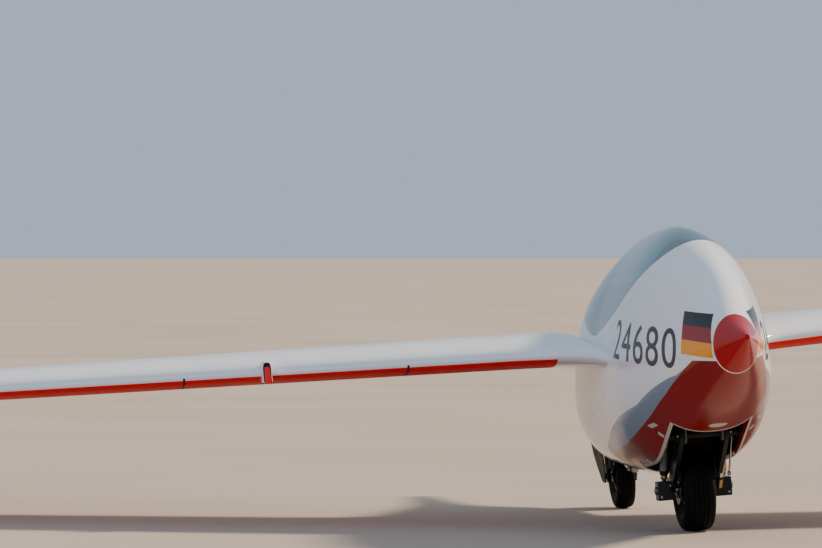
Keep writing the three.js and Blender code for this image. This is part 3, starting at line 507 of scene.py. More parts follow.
def addPiece(name, bm, materials, body="airframe", replaces=(), bevel=0.0, sharp=35, skin=0.0,
             keepNormals=False):
    if not keepNormals:
        bmesh.ops.recalc_face_normals(bm, faces=bm.faces)
    piece = banked(name, bm)
    for material in materials.split():
        piece.data.materials.append(bpy.data.materials[material])
    if skin:
        addModifier(piece, "SOLIDIFY", thickness=skin, offset=-1, material_offset=1, material_offset_rim=0)
        settle(piece)
    if bevel:
        roundEdges(piece, bevel)
        settle(piece)
    smoothed(piece, sharp)
    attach(piece, body)
    if replaces:
        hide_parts(*replaces)
    return piece


def smoothColumn(xs, ys, at):
    # monotone cubic through a table's column
    step = np.diff(xs)
    slope = np.diff(ys) / step
    before, after = slope[:-1], slope[1:]
    w0, w1 = 2 * step[1:] + step[:-1], step[1:] + 2 * step[:-1]
    turning = before * after <= 0
    safeBefore, safeAfter = np.where(turning, 1, before), np.where(turning, 1, after)
    inner = np.where(turning, 0, (w0 + w1) / (w0 / safeBefore + w1 / safeAfter))
    tangent = np.concatenate([slope[:1], inner, slope[-1:]])
    i = np.clip(np.searchsorted(xs, at, side="right") - 1, 0, len(step) - 1)
    t = (at - xs[i]) / step[i]
    return ((2 * t ** 3 - 3 * t ** 2 + 1) * ys[i] + (t ** 3 - 2 * t ** 2 + t) * step[i] * tangent[i]
            + (3 * t ** 2 - 2 * t ** 3) * ys[i + 1] + (t ** 3 - t ** 2) * step[i] * tangent[i + 1])


def spread(a, b, gap):
    return list(np.linspace(a, b, max(2, round((b - a) / gap) + 1)))


fuselage = {
    # aft, bottom, top, half width, height of the widest point, upper and lower power of the section
    "sections": [
        (0.000, 0.660, 0.676, 0.008, 0.668, 2.00, 2.0),
        (0.205, 0.552, 0.737, 0.0715, 0.640, 2.00, 2.0),
        (0.450, 0.442, 0.890, 0.137, 0.580, 1.95, 2.1),
        (0.720, 0.350, 0.973, 0.207, 0.545, 1.97, 2.2),
        (1.100, 0.212, 1.018, 0.254, 0.505, 1.73, 2.3),
        (1.600, 0.177, 0.993, 0.244, 0.475, 1.65, 2.3),
        (2.100, 0.178, 0.883, 0.221, 0.430, 2.09, 2.2),
        (2.640, 0.182, 0.765, 0.143, 0.445, 1.90, 2.1),
        (3.200, 0.440, 0.605, 0.058, 0.515, 2.00, 2.0),
        (3.850, 0.480, 0.540, 0.018, 0.510, 2.00, 2.0),
    ],
    "capEnd": 0.205,
    "tailEnd": 3.850,
    "seat": 0.0003,
    "wall": 0.012,
    "around": 160,
    "spacing": 0.03,
    "bulkhead": (2.30, 2.308),
    "bulkheadTop": 0.69,
}
sections = np.array(fuselage["sections"]).T
# seen from the side, from the hinge to the rear bow
canopy = {
    "seam": [(0.657, 0.962), (0.746, 0.889), (0.862, 0.838), (1.024, 0.773), (1.232, 0.705), (1.512, 0.639),
             (1.706, 0.613), (2.290, 0.690), (2.390, 0.900)],
    "sight": [(0.684, 1.005), (0.714, 0.964), (1.076, 0.803), (1.198, 0.756), (1.364, 0.712), (1.538, 0.679),
              (1.698, 0.653), (2.240, 0.730), (2.340, 0.900)],  # lower edge of the clear sheet
    "reach": (0.60, 2.47),
    "spacing": 0.022,
    "gap": 0.0008,
    "glass": 0.004,
}
wells = {
    "front": {"half": 0.127, "y0": 0.720, "y1": 1.345, "top": 0.400},
    "rear": {"half": 0.080, "y0": 2.480, "y1": 2.810, "top": 0.370},
}
wellWall = 0.012


def sectionAt(y):
    return [smoothColumn(sections[0], column, y) for column in sections[1:]]


def skinRing(y, inset=0.0, around=fuselage["around"]):
    bottom, top, half, widest, upper, lower = sectionAt(y)
    angles = np.linspace(0, 2 * pi, around, endpoint=False)
    c, s = np.cos(angles), np.sin(angles)
    power = 2 / np.where(s >= 0, upper, lower)
    rise = np.where(s >= 0, top - widest - inset, widest - bottom - inset)
    x = (half - inset) * np.sign(c) * np.abs(c) ** power
    return np.stack([x, np.full_like(x, y), widest + rise * np.sign(s) * np.abs(s) ** power], 1)


def skinHalf(y, z):
    # half width of the fuselage at a height
    bottom, top, half, widest, upper, lower = sectionAt(y)
    power, reach = (upper, top - widest) if z >= widest else (lower, widest - bottom)
    return float(half * max(0.0, 1 - min(abs(z - widest) / reach, 1.0) ** power) ** (1 / power))


def skinLow(y, x):
    bottom, _, half, widest, _, lower = sectionAt(y)
    return float(widest - (widest - bottom) * max(0.0, 1 - min(abs(x) / half, 1.0) ** lower) ** (1 / lower))


def edgeLines(points):
    # the straight runs of a convex edge, each with the direction that points into the canopy
    for _ in range(2):
        # corners cut, so the edge runs in a smooth curve
        cut = [points[0]]
        for (ay, az), (by, bz) in zip(points, points[1:]):
            cut += [(k * ay + (1 - k) * by, k * az + (1 - k) * bz) for k in (0.75, 0.25)]
        points = cut + [points[-1]]
    lines = []
    for (ay, az), (by, bz) in zip(points, points[1:]):
        length = hypot(by - ay, bz - az)
        lines.append((ay, az, by, (az - bz) / length, (by - ay) / length))
    return lines


seamLines, sightLines = edgeLines(canopy["seam"]), edgeLines(canopy["sight"])


def aboveEdge(lines, y, z):
    return min((y - ay) * ny + (z - az) * nz for ay, az, _, ny, nz in lines)


def cutFaces(bm, wanted, place, normal):
    # a plane's cut through the faces that are wanted
    geometry = set()
    for face in bm.faces:
        if wanted(face.calc_center_median()):
            geometry.update([face], face.verts, face.edges)
    bmesh.ops.bisect_plane(bm, geom=list(geometry), dist=1e-6, plane_co=place, plane_no=normal)


def cutAlong(bm, lines, inset):
    for i, (ay, az, by, ny, nz) in enumerate(lines):
        low = -9 if i == 0 else ay - 0.05
        high = 9 if i == len(lines) - 1 else by + 0.05
        cutFaces(bm, lambda p: low < p.y < high and abs((p.y - ay) * ny + (p.z - az) * nz) < 0.12,
                 (0, ay + ny * inset, az + nz * inset), (0, ny, nz))


def cutWell(bm, well):
    half, y0, y1, top = well.values()
    for place, normal in (((half, 0, 0), (1, 0, 0)), ((-half, 0, 0), (1, 0, 0)), ((0, y0, 0), (0, 1, 0)),
                          ((0, y1, 0), (0, 1, 0))):
        cutFaces(bm, lambda p: p.z < top + 0.05 and y0 - 0.1 < p.y < y1 + 0.1, place, normal)


def inWell(p):
    return any(abs(p.x) < well["half"] and well["y0"] < p.y < well["y1"] and p.z < well["top"]
               for well in wells.values())


def skinShell(reach, spacing, cuts, wanted, openings=(), end=False):
    # a stretch of the skin, cut along its edges, without the faces that lie past them
    bm = bmesh.new()
    addRings(bm, [skinRing(y) for y in spread(*reach, spacing)], (False, end))
    bmesh.ops.recalc_face_normals(bm, faces=bm.faces)
    for lines, inset in cuts:
        cutAlong(bm, lines, inset)
    for well in openings:
        cutWell(bm, well)
    gone = [face for face in bm.faces if not wanted(face.calc_center_median())]
    bmesh.ops.delete(bm, geom=gone, context="FACES")
    return bm


shell = skinShell((fuselage["capEnd"] + fuselage["seat"], fuselage["tailEnd"]), fuselage["spacing"],
                  [(seamLines, 0)], lambda p: aboveEdge(seamLines, p.y, p.z) < 0 and not inWell(p),
                  wells.values(), True)
addPiece("fuselage_skin", shell, "liveryGelcoat greyLacquer", replaces=["fuselage_shell"],
         skin=fuselage["wall"], keepNormals=True)

# Nose cap: a short cone with a rounded tip
bm = bmesh.new()
capStations = [0, 0.004, 0.01, 0.02, 0.035, 0.055, 0.08, 0.11, 0.14, 0.17, 0.19, 0.2, fuselage["capEnd"]]
addRings(bm, [skinRing(y) for y in capStations])
addPiece("nose_cap_skin", bm, "redGelcoat", replaces=["nose_cap"])

# Canopy frame and glass share the fuselage's surface
shell = skinShell(canopy["reach"], canopy["spacing"], [(seamLines, canopy["gap"]), (sightLines, 0)],
                  lambda p: aboveEdge(seamLines, p.y, p.z) > canopy["gap"] and aboveEdge(sightLines, p.y, p.z) < 0)
addPiece("canopy_rim", shell, "whiteGelcoat blackAbs", "canopy", ["canopy_frame"],
         skin=fuselage["wall"], keepNormals=True)
shell = skinShell(canopy["reach"], canopy["spacing"], [(sightLines, fuselage["seat"])],
                  lambda p: aboveEdge(sightLines, p.y, p.z) > fuselage["seat"])
addPiece("canopy_bubble", shell, "tintedAcrylic tintedAcrylic", "canopy", ["canopy_glass"],
         skin=canopy["glass"], keepNormals=True)
print("fuselage and canopy built")

# Wells: thin laminate boxes whose lower edges follow the skin, and a bulkhead behind the seat
bm = bmesh.new()
for well in wells.values():
    half, y0, y1, top = well.values()
    for side in (-1, 1):
        inner, outer = side * half, side * (half + wellWall)
        addRings(bm, [[(inner, y, skinLow(y, inner) + 0.002), (outer, y, skinLow(y, outer) + 0.006),
                       (outer, y, top + wellWall), (inner, y, top + wellWall)]
                      for y in np.linspace(y0 - wellWall, y1 + wellWall, 26)])
    for ya, yb in ((y0 - wellWall, y0), (y1, y1 + wellWall)):
        addRings(bm, [[(x, ya, skinLow(ya, x) + 0.004), (x, yb, skinLow(yb, x) + 0.004), (x, yb, top), (x, ya, top)]
                      for x in np.linspace(-half, half, 16)])
    addBlock(bm, (-half, y0 - wellWall, top), (half, y1 + wellWall, top + wellWall))
addPiece("well_liners", bm, "darkLaminate")

bm = bmesh.new()
addRings(bm, [skinRing(y, fuselage["wall"] + 0.0005, 96) for y in fuselage["bulkhead"]])
bmesh.ops.bisect_plane(bm, geom=bm.verts[:] + bm.edges[:] + bm.faces[:], dist=1e-6,
                       plane_co=(0, 0, fuselage["bulkheadTop"]), plane_no=(0, 0, 1), clear_outer=True)
bmesh.ops.holes_fill(bm, edges=bm.edges)
addPiece("rear_bulkhead", bm, "greyLacquer")

wing = {
    # across, leading edge, chord, height, greatest thickness
    "stations": [
        (0.180, 1.100, 1.440, 0.578, 0.062),
        (0.235, 1.180, 1.330, 0.586, 0.078),
        (0.262, 1.215, 1.280, 0.597, 0.095),
        (0.285, 1.255, 1.225, 0.604, 0.108),
        (0.330, 1.312, 1.155, 0.611, 0.119),
        (0.380, 1.345, 1.113, 0.614, 0.120),
        (0.520, 1.400, 1.070, 0.617, 0.119),
        (0.620, 1.4315, 1.0619, 0.6182, 0.1184),
        (2.750, 2.103, 0.889, 0.643, 0.105),
        (4.950, 2.797, 0.710, 0.670, 0.082),
        (7.060, 3.462, 0.538, 0.697, 0.060),
        (7.465, 3.600, 0.490, 0.703, 0.052),
    ],
    # share of the chord, mean line and thickness as shares of the greatest thickness
    "foil": [(0.0, 0.0, 0.0), (0.01, 0.01, 0.29), (0.04, 0.03, 0.54), (0.1, 0.06, 0.77), (0.2, 0.09, 0.94),
             (0.34, 0.1, 1.0), (0.5, 0.1, 0.925), (0.66, 0.07, 0.71), (0.8, 0.03, 0.46), (0.9, 0.02, 0.24),
             (1.0, 0.02, 0.03)],
    "rootRings": (0.272, 0.286, 0.302, 0.322, 0.346, 0.372, 0.400, 0.432, 0.470, 0.520, 0.570),
    "tipRings": (7.12, 7.3, 7.465),
    "hinge": 0.8,
    "elevonEdges": (0.620, 2.750, 4.950, 7.020),
    "plate": 0.008,
    "plateRound": 0.011,
    "plateHalf": 0.016,
    "endGap": 0.005,
    "slot": 0.004,  # between the elevon's nose and its cove
    "sunk": 0.006,  # how far the root lies inside the fuselage skin
    "pin": 0.004,
}
foil, stations = np.array(wing["foil"]).T, np.array(wing["stations"]).T


def foilSides(lead, chord, thick, camber, u):
    # upper and lower points at shares of the chord; the square root keeps the nose round
    s = np.sqrt(np.clip(u, 0, 1))
    mean, full = (smoothColumn(np.sqrt(foil[0]), column, s) for column in foil[1:])
    return [list(zip(lead + u * chord, thick * (mean * camber + way * full / 2))) for way in (1, -1)]


def stationAt(x):
    return [float(smoothColumn(stations[0], column, x)) for column in stations[1:]]


def arc(centre, radius, start, end, count):
    return [(centre[0] + radius * cos(a), centre[1] + radius * sin(a)) for a in np.linspace(start, end, count)]


def hingeAt(lead, chord, thick, camber, hinge):
    # the hinge's place, and the radius of the control surface's nose around it
    [(back, high)], [(_, low)] = foilSides(lead, chord, thick, camber, np.array([hinge]))
    return (back, (high + low) / 2), (high - low) / 2


def foilOutline(lead, chord, thick, camber, hinge, cove, forward=24, aft=9):
    # closed outline of (back, up) points: aft upper, forward upper, forward lower, aft lower.
    # With a cove, the aft points lie on the arc around the control surface's nose, and the skins end at its start.
    centre, nose = hingeAt(lead, chord, thick, camber, hinge)
    end = hinge - sqrt((nose + wing["slot"]) ** 2 - (nose * 1.02) ** 2) / chord
    upper, lower = foilSides(lead, chord, thick, camber, np.linspace(sqrt(end), 0, forward) ** 2)
    if cove:
        rims = []
        for (y, z), way in ((upper[0], 1), (lower[0], -1)):
            y, z = y - centre[0], z - centre[1]
            rims.append(arc(centre, hypot(y, z), pi - way * 0.01, atan2(z, y) % (2 * pi), aft + 1))
    else:
        rims = foilSides(lead, chord, thick, camber, np.linspace(1, end, aft + 1))
    return rims[0][:-1] + upper + lower[-2::-1] + rims[1][-2::-1]


def controlOutline(lead, chord, thick, camber, hinge):
    # a control surface: skins from the hinge to the trailing edge, and a round nose about the hinge
    centre, nose = hingeAt(lead, chord, thick, camber, hinge)
    upper, lower = foilSides(lead, chord, thick, camber, np.linspace(1, hinge, 10))
    return upper + arc(centre, nose, pi / 2, 3 * pi / 2, 11)[1:-1] + lower[::-1], centre, nose


def wingRing(x, side, cove):
    lead, chord, height, thick = stationAt(x)
    return [(side * x, y, height + z) for y, z in foilOutline(lead, chord, thick, 1, wing["hinge"], cove)]


def rootRing(side):
    # each point of the wing's first ring is moved across until it lies just inside the fuselage skin
    ring = []
    for k in range(len(wingRing(0.3, side, False))):
        x = 0.25
        for _ in range(6):
            _, y, z = wingRing(x, side, False)[k]
            x = max(skinHalf(y, z) - wing["sunk"], 0.02)
        ring.append((side * x, y, z))
    return ring


def joinedRings(rings):
    bm = bmesh.new()
    addRings(bm, rings)
    bmesh.ops.remove_doubles(bm, verts=bm.verts, dist=1e-6)
    return bm


def wingSolid(side):
    edges = wing["elevonEdges"]
    stops = [(x, False) for x in (*wing["rootRings"], edges[0])]
    stops += [(x, True) for x in spread(edges[0], edges[-1], 0.25)]
    stops += [(x, False) for x in (edges[-1], *wing["tipRings"])]
    bm = joinedRings([rootRing(side)] + [wingRing(x, side, cove) for x, cove in stops])
    bmesh.ops.recalc_face_normals(bm, faces=bm.faces)
    for x in edges[1:-1]:
        # hinge plate between two elevons
        lead, chord, height, thick = stationAt(x)
        (back, up), nose = hingeAt(lead, chord, thick, 1, wing["hinge"])
        front, up = back - nose - 0.012, height + up
        tip = arc((back, up), wing["plateRound"], -pi / 2, pi / 2, 9)
        addPlate(bm, [(front, up - wing["plateHalf"]), *tip, (front, up + wing["plateHalf"])],
                 side * x - wing["plate"] / 2, side * x + wing["plate"] / 2)
    return bm


airbrake = {"x": (1.500, 2.600), "u": 0.5, "cap": 0.017, "capDepth": 0.0045, "blade": 0.006, "depth": 0.066,
            "gap": 0.005, "lift": 0.02}


def airbrakeRing(x, side):
    # the outline of the slot that takes the airbrake: wide for the cap, then narrow and deep for the blade
    lead, chord, height, thick = stationAt(x)
    wide, blade = (airbrake[name] + airbrake["gap"] for name in ("cap", "blade"))
    ledge, lift = -airbrake["capDepth"] - 0.0003, airbrake["lift"]
    places = airbrake["u"] + np.array((-1, 0, 1)) * airbrake["cap"] / chord
    before, middle, after = foilSides(lead, chord, thick, 1, places)[0]
    slope = (after[1] - before[1]) / (after[0] - before[0])
    floorZ = height + middle[1] - airbrake["depth"] - airbrake["gap"]
    rows = [(-wide, lift), (-wide, ledge), (-blade, ledge), (-blade, None), (blade, None), (blade, ledge),
            (wide, ledge), (wide, lift)]
    return [(side * x, middle[0] + dy, floorZ if dz is None else height + middle[1] + slope * dy + dz)
            for dy, dz in rows]


def cutWith(piece, bm):
    # one solid taken out of a piece
    bmesh.ops.recalc_face_normals(bm, faces=bm.faces)
    cutter = banked("cutter", bm)
    addModifier(piece, "BOOLEAN", operation="DIFFERENCE", solver="EXACT", object=cutter)
    settle(piece)
    bpy.data.objects.remove(cutter)
    smoothed(piece)


winglet = {
    "x": 7.475,
    # height, leading edge, chord, thickness
    "rows": [(0.652, 3.610, 0.480, 0.046), (0.800, 3.640, 0.470, 0.050), (1.700, 3.950, 0.300, 0.032)],
    "hinge": 0.68,
    "rudder": (0.800, 1.640),
    "foot": (0.652, 0.72, 0.76),
    "neck": 1.66,
    "tipRound": [(1.690, 0.97, 0.9), (1.697, 0.94, 0.6), (1.7, 0.90, 0.2)],  # height, share of chord and thickness
}
wingletRows = np.array(winglet["rows"]).T


def wingletAt(z):
    return [float(np.interp(z, wingletRows[0], column)) for column in wingletRows[1:]]


def wingletRing(z, side, cove=False, share=1.0, thin=1.0):
    lead, chord, thick = wingletAt(z)
    outline = foilOutline(lead + (1 - share) * chord / 2, chord * share, thick * thin, 0, winglet["hinge"], cove)
    return [(side * winglet["x"] + w, y, z) for y, w in outline]


def controlSurface(kind, label, rings, centres):
    # a pin runs out of each end of the hinge
    bm = bmesh.new()
    addRings(bm, rings)
    way = (centres[-1] - centres[0]).normalized()
    for end, out in ((centres[0], -way), (centres[-1], way)):
        addRod(bm, end - out * 0.02, end + out * 0.0085, wing["pin"], 12, 1)
    addPiece(f"{kind}_skin_{label}", bm, "whiteGelcoat groundSteel", f"{kind}_{label}", [f"{kind}_{label}"])


for label, side in sides:
    wingPiece = addPiece("wing_panel_" + label, wingSolid(side), "wingGelcoat", replaces=["wing_" + label],
                         keepNormals=True)
    bm = bmesh.new()
    addRings(bm, [airbrakeRing(x, side) for x in airbrake["x"]])
    cutWith(wingPiece, bm)
    edges = wing["elevonEdges"]
    for i, (x0, x1) in enumerate(zip(edges, edges[1:])):
        inner = x0 + (0 if i == 0 else wing["plate"] / 2) + wing["endGap"]
        outer = x1 - (0 if i == 2 else wing["plate"] / 2) - wing["endGap"]
        rings, centres = [], []
        for x in spread(inner, outer, 0.3):
            lead, chord, height, thick = stationAt(x)
            outline, (back, up), _ = controlOutline(lead, chord, thick, 1, wing["hinge"])
            rings.append([(side * x, y, height + z) for y, z in outline])
            centres.append(Vector((side * x, back, height + up)))
        controlSurface("elevon", f"{label}_{i + 1}", rings, centres)
    z0, z1 = winglet["rudder"]
    rings = [wingletRing(z, side) for z in (*winglet["foot"], z0)]
    rings += [wingletRing(z, side, True) for z in spread(z0, z1, 0.14)]
    rings += [wingletRing(z, side) for z in (z1, winglet["neck"])]
    rings += [wingletRing(z, side, False, share, thin) for z, share, thin in winglet["tipRound"]]
    addPiece("winglet_skin_" + label, joinedRings(rings), "whiteGelcoat", replaces=["winglet_" + label])
    rings, centres = [], []
    for z in spread(z0 + wing["endGap"], z1 - wing["endGap"], 0.16):
        outline, (back, _), _ = controlOutline(*wingletAt(z), 0, winglet["hinge"])
        rings.append([(side * winglet["x"] + w, y, z) for y, w in outline])
        centres.append(Vector((side * winglet["x"], back, z)))
    controlSurface("rudder", label, rings, centres)
print("wings built")

# Numbers on the sides, in cut film that follows the skin
numbers = {"text": "24680", "height": 0.128, "aft": (0.478, 1.100), "base": [(0.50, 0.571), (1.10, 0.600)],
           "spacing": 1.1, "lift": 0.0006, "film": 0.0005}


def sideNumbers(label, side):
    curve = bpy.data.curves.new("numbers", "FONT")
    curve.body, curve.space_character = numbers["text"], numbers["spacing"]
    letters = addObject("numbers", curve)
    mesh = bpy.data.meshes.new_from_object(letters.evaluated_get(bpy.context.evaluated_depsgraph_get()))
    bpy.data.objects.remove(letters)
    bm = bmesh.new()
    bm.from_mesh(mesh)
    xs, ys = [v.co.x for v in bm.verts], [v.co.y for v in bm.verts]
    for v in bm.verts:
        v.co.x, v.co.y = (v.co.x - min(xs)) / (max(xs) - min(xs)), (v.co.y - min(ys)) / (max(ys) - min(ys))
    # thin strips, so the film bends with the skin
    for axis, cuts in (((1, 0, 0), 40), ((0, 1, 0), 12)):
        for i in range(1, cuts):
            bmesh.ops.bisect_plane(bm, geom=bm.verts[:] + bm.edges[:] + bm.faces[:], dist=1e-6,
                                   plane_co=[c * i / cuts for c in axis], plane_no=axis)
    near, far = numbers["aft"]
    for v in bm.verts:
        along = far - v.co.x * (far - near) if side < 0 else near + v.co.x * (far - near)
        high = float(np.interp(along, *zip(*numbers["base"]))) + v.co.y * numbers["height"]
        v.co = (side * (skinHalf(along, high) + numbers["lift"]), along, high)
    addPiece("side_numbers_" + label, bm, "numberFilm", skin=numbers["film"])


for label, side in sides:
    sideNumbers(label, side)

# Trim of the gear openings: edge strips, latches, an oval of film ahead and a diamond beside
trim = {
    "strip": 0.010, "lip": 0.005, "lift": 0.0012, "thick": 0.0016,
    "oval": (0.007, 0.655, 0.031, 0.019),  # across, aft, half width, half length
    "ovalStrips": 14,
    # across, aft, width, length
    "latches": [(0.150, 0.838, 0.018, 0.010), (0.147, 1.134, 0.018, 0.010), (0.148, 1.280, 0.016, 0.009)],
    "latchLift": 0.0035, "latchThick": 0.004,
    "diamond": (0.177, 0.380, 0.0125, 0.0095),  # across, height, half width, half height
}


def skinStrip(bm, path, width, lift, thick):
    # a flat strip along (x, y) places on the belly
    after = [(2 * path[-1][0] - path[-2][0], 2 * path[-1][1] - path[-2][1])]
    rings = []
    for (xa, ya), (xb, yb) in zip(path, path[1:] + after):
        share = width / 2 / hypot(xb - xa, yb - ya)
        left, right = ((xa + way * (ya - yb) * share, ya + way * (xb - xa) * share) for way in (1, -1))
        rings.append([(x, y, skinLow(y, x) - lift + up)
                      for (x, y), up in ((left, 0), (right, 0), (right, thick), (left, thick))])
    addRings(bm, rings)


bm = bmesh.new()
for well in wells.values():
    half, y0, y1, _ = well.values()
    for side in (-1, 1):
        x = side * (half + trim["strip"] / 2 + 0.0005)
        skinStrip(bm, [(x, y) for y in np.linspace(y0, y1, 24)], trim["strip"], trim["lift"], trim["thick"])
    for y in (y0 - trim["lip"] / 2, y1 + trim["lip"] / 2):
        skinStrip(bm, [(x, y) for x in np.linspace(-half, half, 20)], trim["lip"], trim["lift"], trim["thick"])
midX, midY, wide, long = trim["oval"]
for k in range(trim["ovalStrips"]):
    corners = []
    for edge, ways in ((k, (-1, 1)), (k + 1, (1, -1))):
        t = edge / (trim["ovalStrips"] / 2) - 1
        corners += [(midX + t * wide, midY + way * long * sqrt(max(1 - t * t, 0.01))) for way in ways]
    addRings(bm, [[(x, y, skinLow(y, x) - lift) for x, y in corners] for lift in (-0.0005, 0.0014)])
midX, midZ, wide, high = trim["diamond"]
for side in (-1, 1):
    for x, y, across, length in trim["latches"]:
        skinStrip(bm, [(side * x + dx, y) for dx in (-across / 2, 0, across / 2)], length, trim["latchLift"],
                  trim["latchThick"])
    rings = [[], []]
    for dx, dz in ((-wide, 0), (0, high), (wide, 0), (0, -high)):
        x, z = midX + dx, midZ + dz
        y = min(np.linspace(0.70, 0.95, 251), key=lambda place: abs(skinHalf(place, z) - x))
        for ring, lift in zip(rings, (0.0010, -0.0005)):
            ring.append((side * (x + lift * 0.7), y - lift * 0.3, z - lift * 0.7))
    addRings(bm, rings)
addPiece("opening_trim", bm, "paleStrip")


def aroundAxle(end, x, degrees, radius):
    return axles[end] + Vector((x, cos(radians(degrees)) * radius, sin(radians(degrees)) * radius))


def eyeRing(bm, centre, inner, outer, around, slot, half=0.005):
    addTurned(bm, [(-half, inner), (-half, outer), (half, outer), (half, inner)], centre, around=around, slot=slot,
              closed=True)


def tyrePiece(end):
    _, radius, half, bead, _, grooves = wheels[end].values()
    height, flat = radius - bead, 0.68 * half
    side = [(0.56, 0.0), (0.60, 0.07), (0.68, 0.085), (0.70, 0.13), (0.84, 0.26), (0.95, 0.42), (1.0, 0.56),
            (0.985, 0.70), (0.94, 0.80), (0.86, 0.88), (0.75, 0.93)]
    tread = []
    cut, deep = 0.0021, 0.0035
    for i in range(grooves):
        middle = -flat + 2 * flat / (grooves + 1) * (i + 1)
        for dx, down in ((-cut, 0), (-cut + 0.0006, deep), (cut - 0.0006, deep), (cut, 0)):
            x = middle + dx
            tread.append((x, radius - 0.045 * height * (x / flat) ** 2 - down))
    outer = [(-half * across, bead + height * up) for across, up in side]
    outer += tread + [(-x, r) for x, r in reversed(outer)]
    bm = bmesh.new()
    addTurned(bm, outer, axles[end], around=112, closed=True)
    addPiece(end + "_tyre_tread", bm, "tyreRubber", end + "_wheel", [end + "_tyre"], sharp=50)


def rimPiece(end):
    # a dished rim with six bolts on each side and a valve; its black is partly its own coat and partly painted
    # shade for the shadow round the wheel
    _, _, half, bead, hub, _ = wheels[end].values()
    side = [(hub, 0.0107), (hub, 0.021), (hub - 0.002, 0.0230), (half * 0.36, 0.0260), (half * 0.31, 0.0290),
            (half * 0.31, bead - 0.019), (half * 0.36, bead - 0.014), (half * 0.56, bead - 0.0105),
            (half * 0.62, bead - 0.0095), (half * 0.64, bead - 0.0030), (half * 0.62, bead - 0.0006)]
    bm = bmesh.new()
    addTurned(bm, [(-x, r) for x, r in side] + side[::-1], axles[end], around=72, closed=True)
    for way in (-1, 1):
        for i in range(6):
            addBolt(bm, aroundAxle(end, way * half * 0.31, 60 * i + 30, (bead + 0.010) / 2), (way, 0, 0), 0.0042, 1)
    addRod(bm, aroundAxle(end, -half * 0.36, 75, bead - 0.0115), aroundAxle(end, -half * 0.78, 75, bead - 0.0215),
           0.0035, 14, 2, 0.0028)
    addPiece(end + "_rim_turned", bm, "blackAnodised groundSteel blackAbs", end + "_wheel", [end + "_rim"])


for end in wheels:
    tyrePiece(end)
    rimPiece(end)

# Brake disc with drilled rows: each hole is a thin black plug on the face, painted shade in place of an open hole
brake = {"near": -0.0503, "far": -0.0543, "inner": 0.020, "outer": 0.052, "edge": 0.0006,
         "rows": (0.031, 0.038, 0.045)}
near, far, inner, outer, edge, rows = brake.values()
bm = bmesh.new()
addTurned(bm, [(near, inner), (far, inner), (far, outer - edge), (far + edge, outer), (near - edge, outer),
               (near, outer - edge)], axles["front"], around=72, closed=True)
for row, radius in enumerate(rows):
    for turn in range(10 * row, 360, 30):
        addRod(bm, aroundAxle("front", far - 0.0002, turn, radius), aroundAxle("front", far + 0.0010, turn, radius),
               0.0022, 12, 1)
addPiece("brake_disc_drilled", bm, "groundSteel blackAbs", "front_wheel", ["brake_disc"])

gear = {"pivot": (0.900, 0.335), "shockTop": (1.085, 0.372), "shockFoot": (1.150, 0.1774), "shockX": 0.099,
        "topEye": 0.0106, "axleRadius": 0.010}

# Axles with a washer, a hexagon nut and a plug at each end
for end, half, nut, length in (("front", 0.1243, 0.016, 0.008), ("rear", 0.0523, 0.015, 0.006)):
    radius = gear["axleRadius"]
    bm = bmesh.new()
    addRod(bm, aroundAxle(end, -half, 0, 0), aroundAxle(end, half, 0, 0), radius, 36)
    for way in (-1, 1):
        for profile, around, slot, start in (
                ([(0, nut - 0.001), (0.0014, nut - 0.001)], 36, 0, 0),
                ([(0.0014, nut - 0.0025), (length - 0.0026, nut - 0.0025), (length - 0.001, nut - 0.0045)],
                 6, 0, 0.5),
                ([(length - 0.002, radius * 0.72), (length, radius * 0.72)], 28, 1, 0)):
            addTurned(bm, profile, aroundAxle(end, way * half, 0, 0), (way, 0, 0), around, slot, start=start)
    addPiece(end + "_axle_turned", bm, "groundSteel blackAnodised", "airframe", [end + "_axle"], 0.0004)


def shockPiece(label, side):
    foot, top = (Vector((side * gear["shockX"], *gear[name])) for name in ("shockFoot", "shockTop"))
    way = (top - foot).normalized()
    length = (top - foot).length - gear["topEye"]
    top = length * 1000
    # slot, then (distance up from the foot, radius) in mm: chrome and gold on the left, a grey tube opposite
    stages = {
        "left": [(2, (0, 8.5), (4, 10.5), (18, 10.5), (21, 8.5)),
                 (2, (21, 12.8), (24, 14.8), (40, 14.8), (43, 12.8)),
                 (2, (43, 12.2), (88, 12.2)),
                 (1, (88, 13.8), (91, 15), (100, 15), (103, 13.8)),
                 (1, (103, 12.2), (top - 32, 12.2)),
                 (3, (top - 32, 14), (top - 29, 15), (top - 14, 15), (top - 11, 12)),
                 (0, (top - 11, 10), (top, 8.5))],
        "right": [(1, (0, 8), (22, 8)),
                  (2, (6, 9.8), (9, 11), (17, 11), (20, 9.8)),
                  (3, (22, 13.6), (25, 15), (36, 15), (39, 13.6)),
                  (4, (39, 12.8), (120, 12.8)),
                  (5, (120, 14), (122, 15), (134, 15), (136, 14)),
                  (4, (136, 12.8), (top - 30, 12.8)),
                  (3, (top - 30, 14), (top - 27, 15), (top - 15, 15), (top - 12, 12)),
                  (0, (top - 12, 10), (top, 8.5))],
    }
    bm = bmesh.new()
    for slot, *profile in stages[label]:
        addTurned(bm, [(along / 1000, radius / 1000) for along, radius in profile], foot, way, 40, slot)
    # adjuster ribs, and a filler cap facing forward
    _, u, v = framed(way)
    for rib in circle(foot, u, v, 0.0108, 10):
        addRod(bm, rib + way * 0.006, rib + way * 0.016, 0.0012, 6, 2)
    ahead = (Vector((0, -1, 0)) + way * way.y).normalized()
    cap = foot + way * (length - 0.045)
    addRod(bm, cap + ahead * 0.011, cap + ahead * 0.0175, 0.0035, 12)
    addPiece(f"shock_{label}_unit", bm, "groundSteel chromedSteel goldAnodised blackAnodised greyPaint palePaint",
             "airframe", ["shock_" + label])


for label, side in sides:
    shockPiece(label, side)


def addRods(bm, rods):
    for rod in rods:
        addRod(bm, *rod)


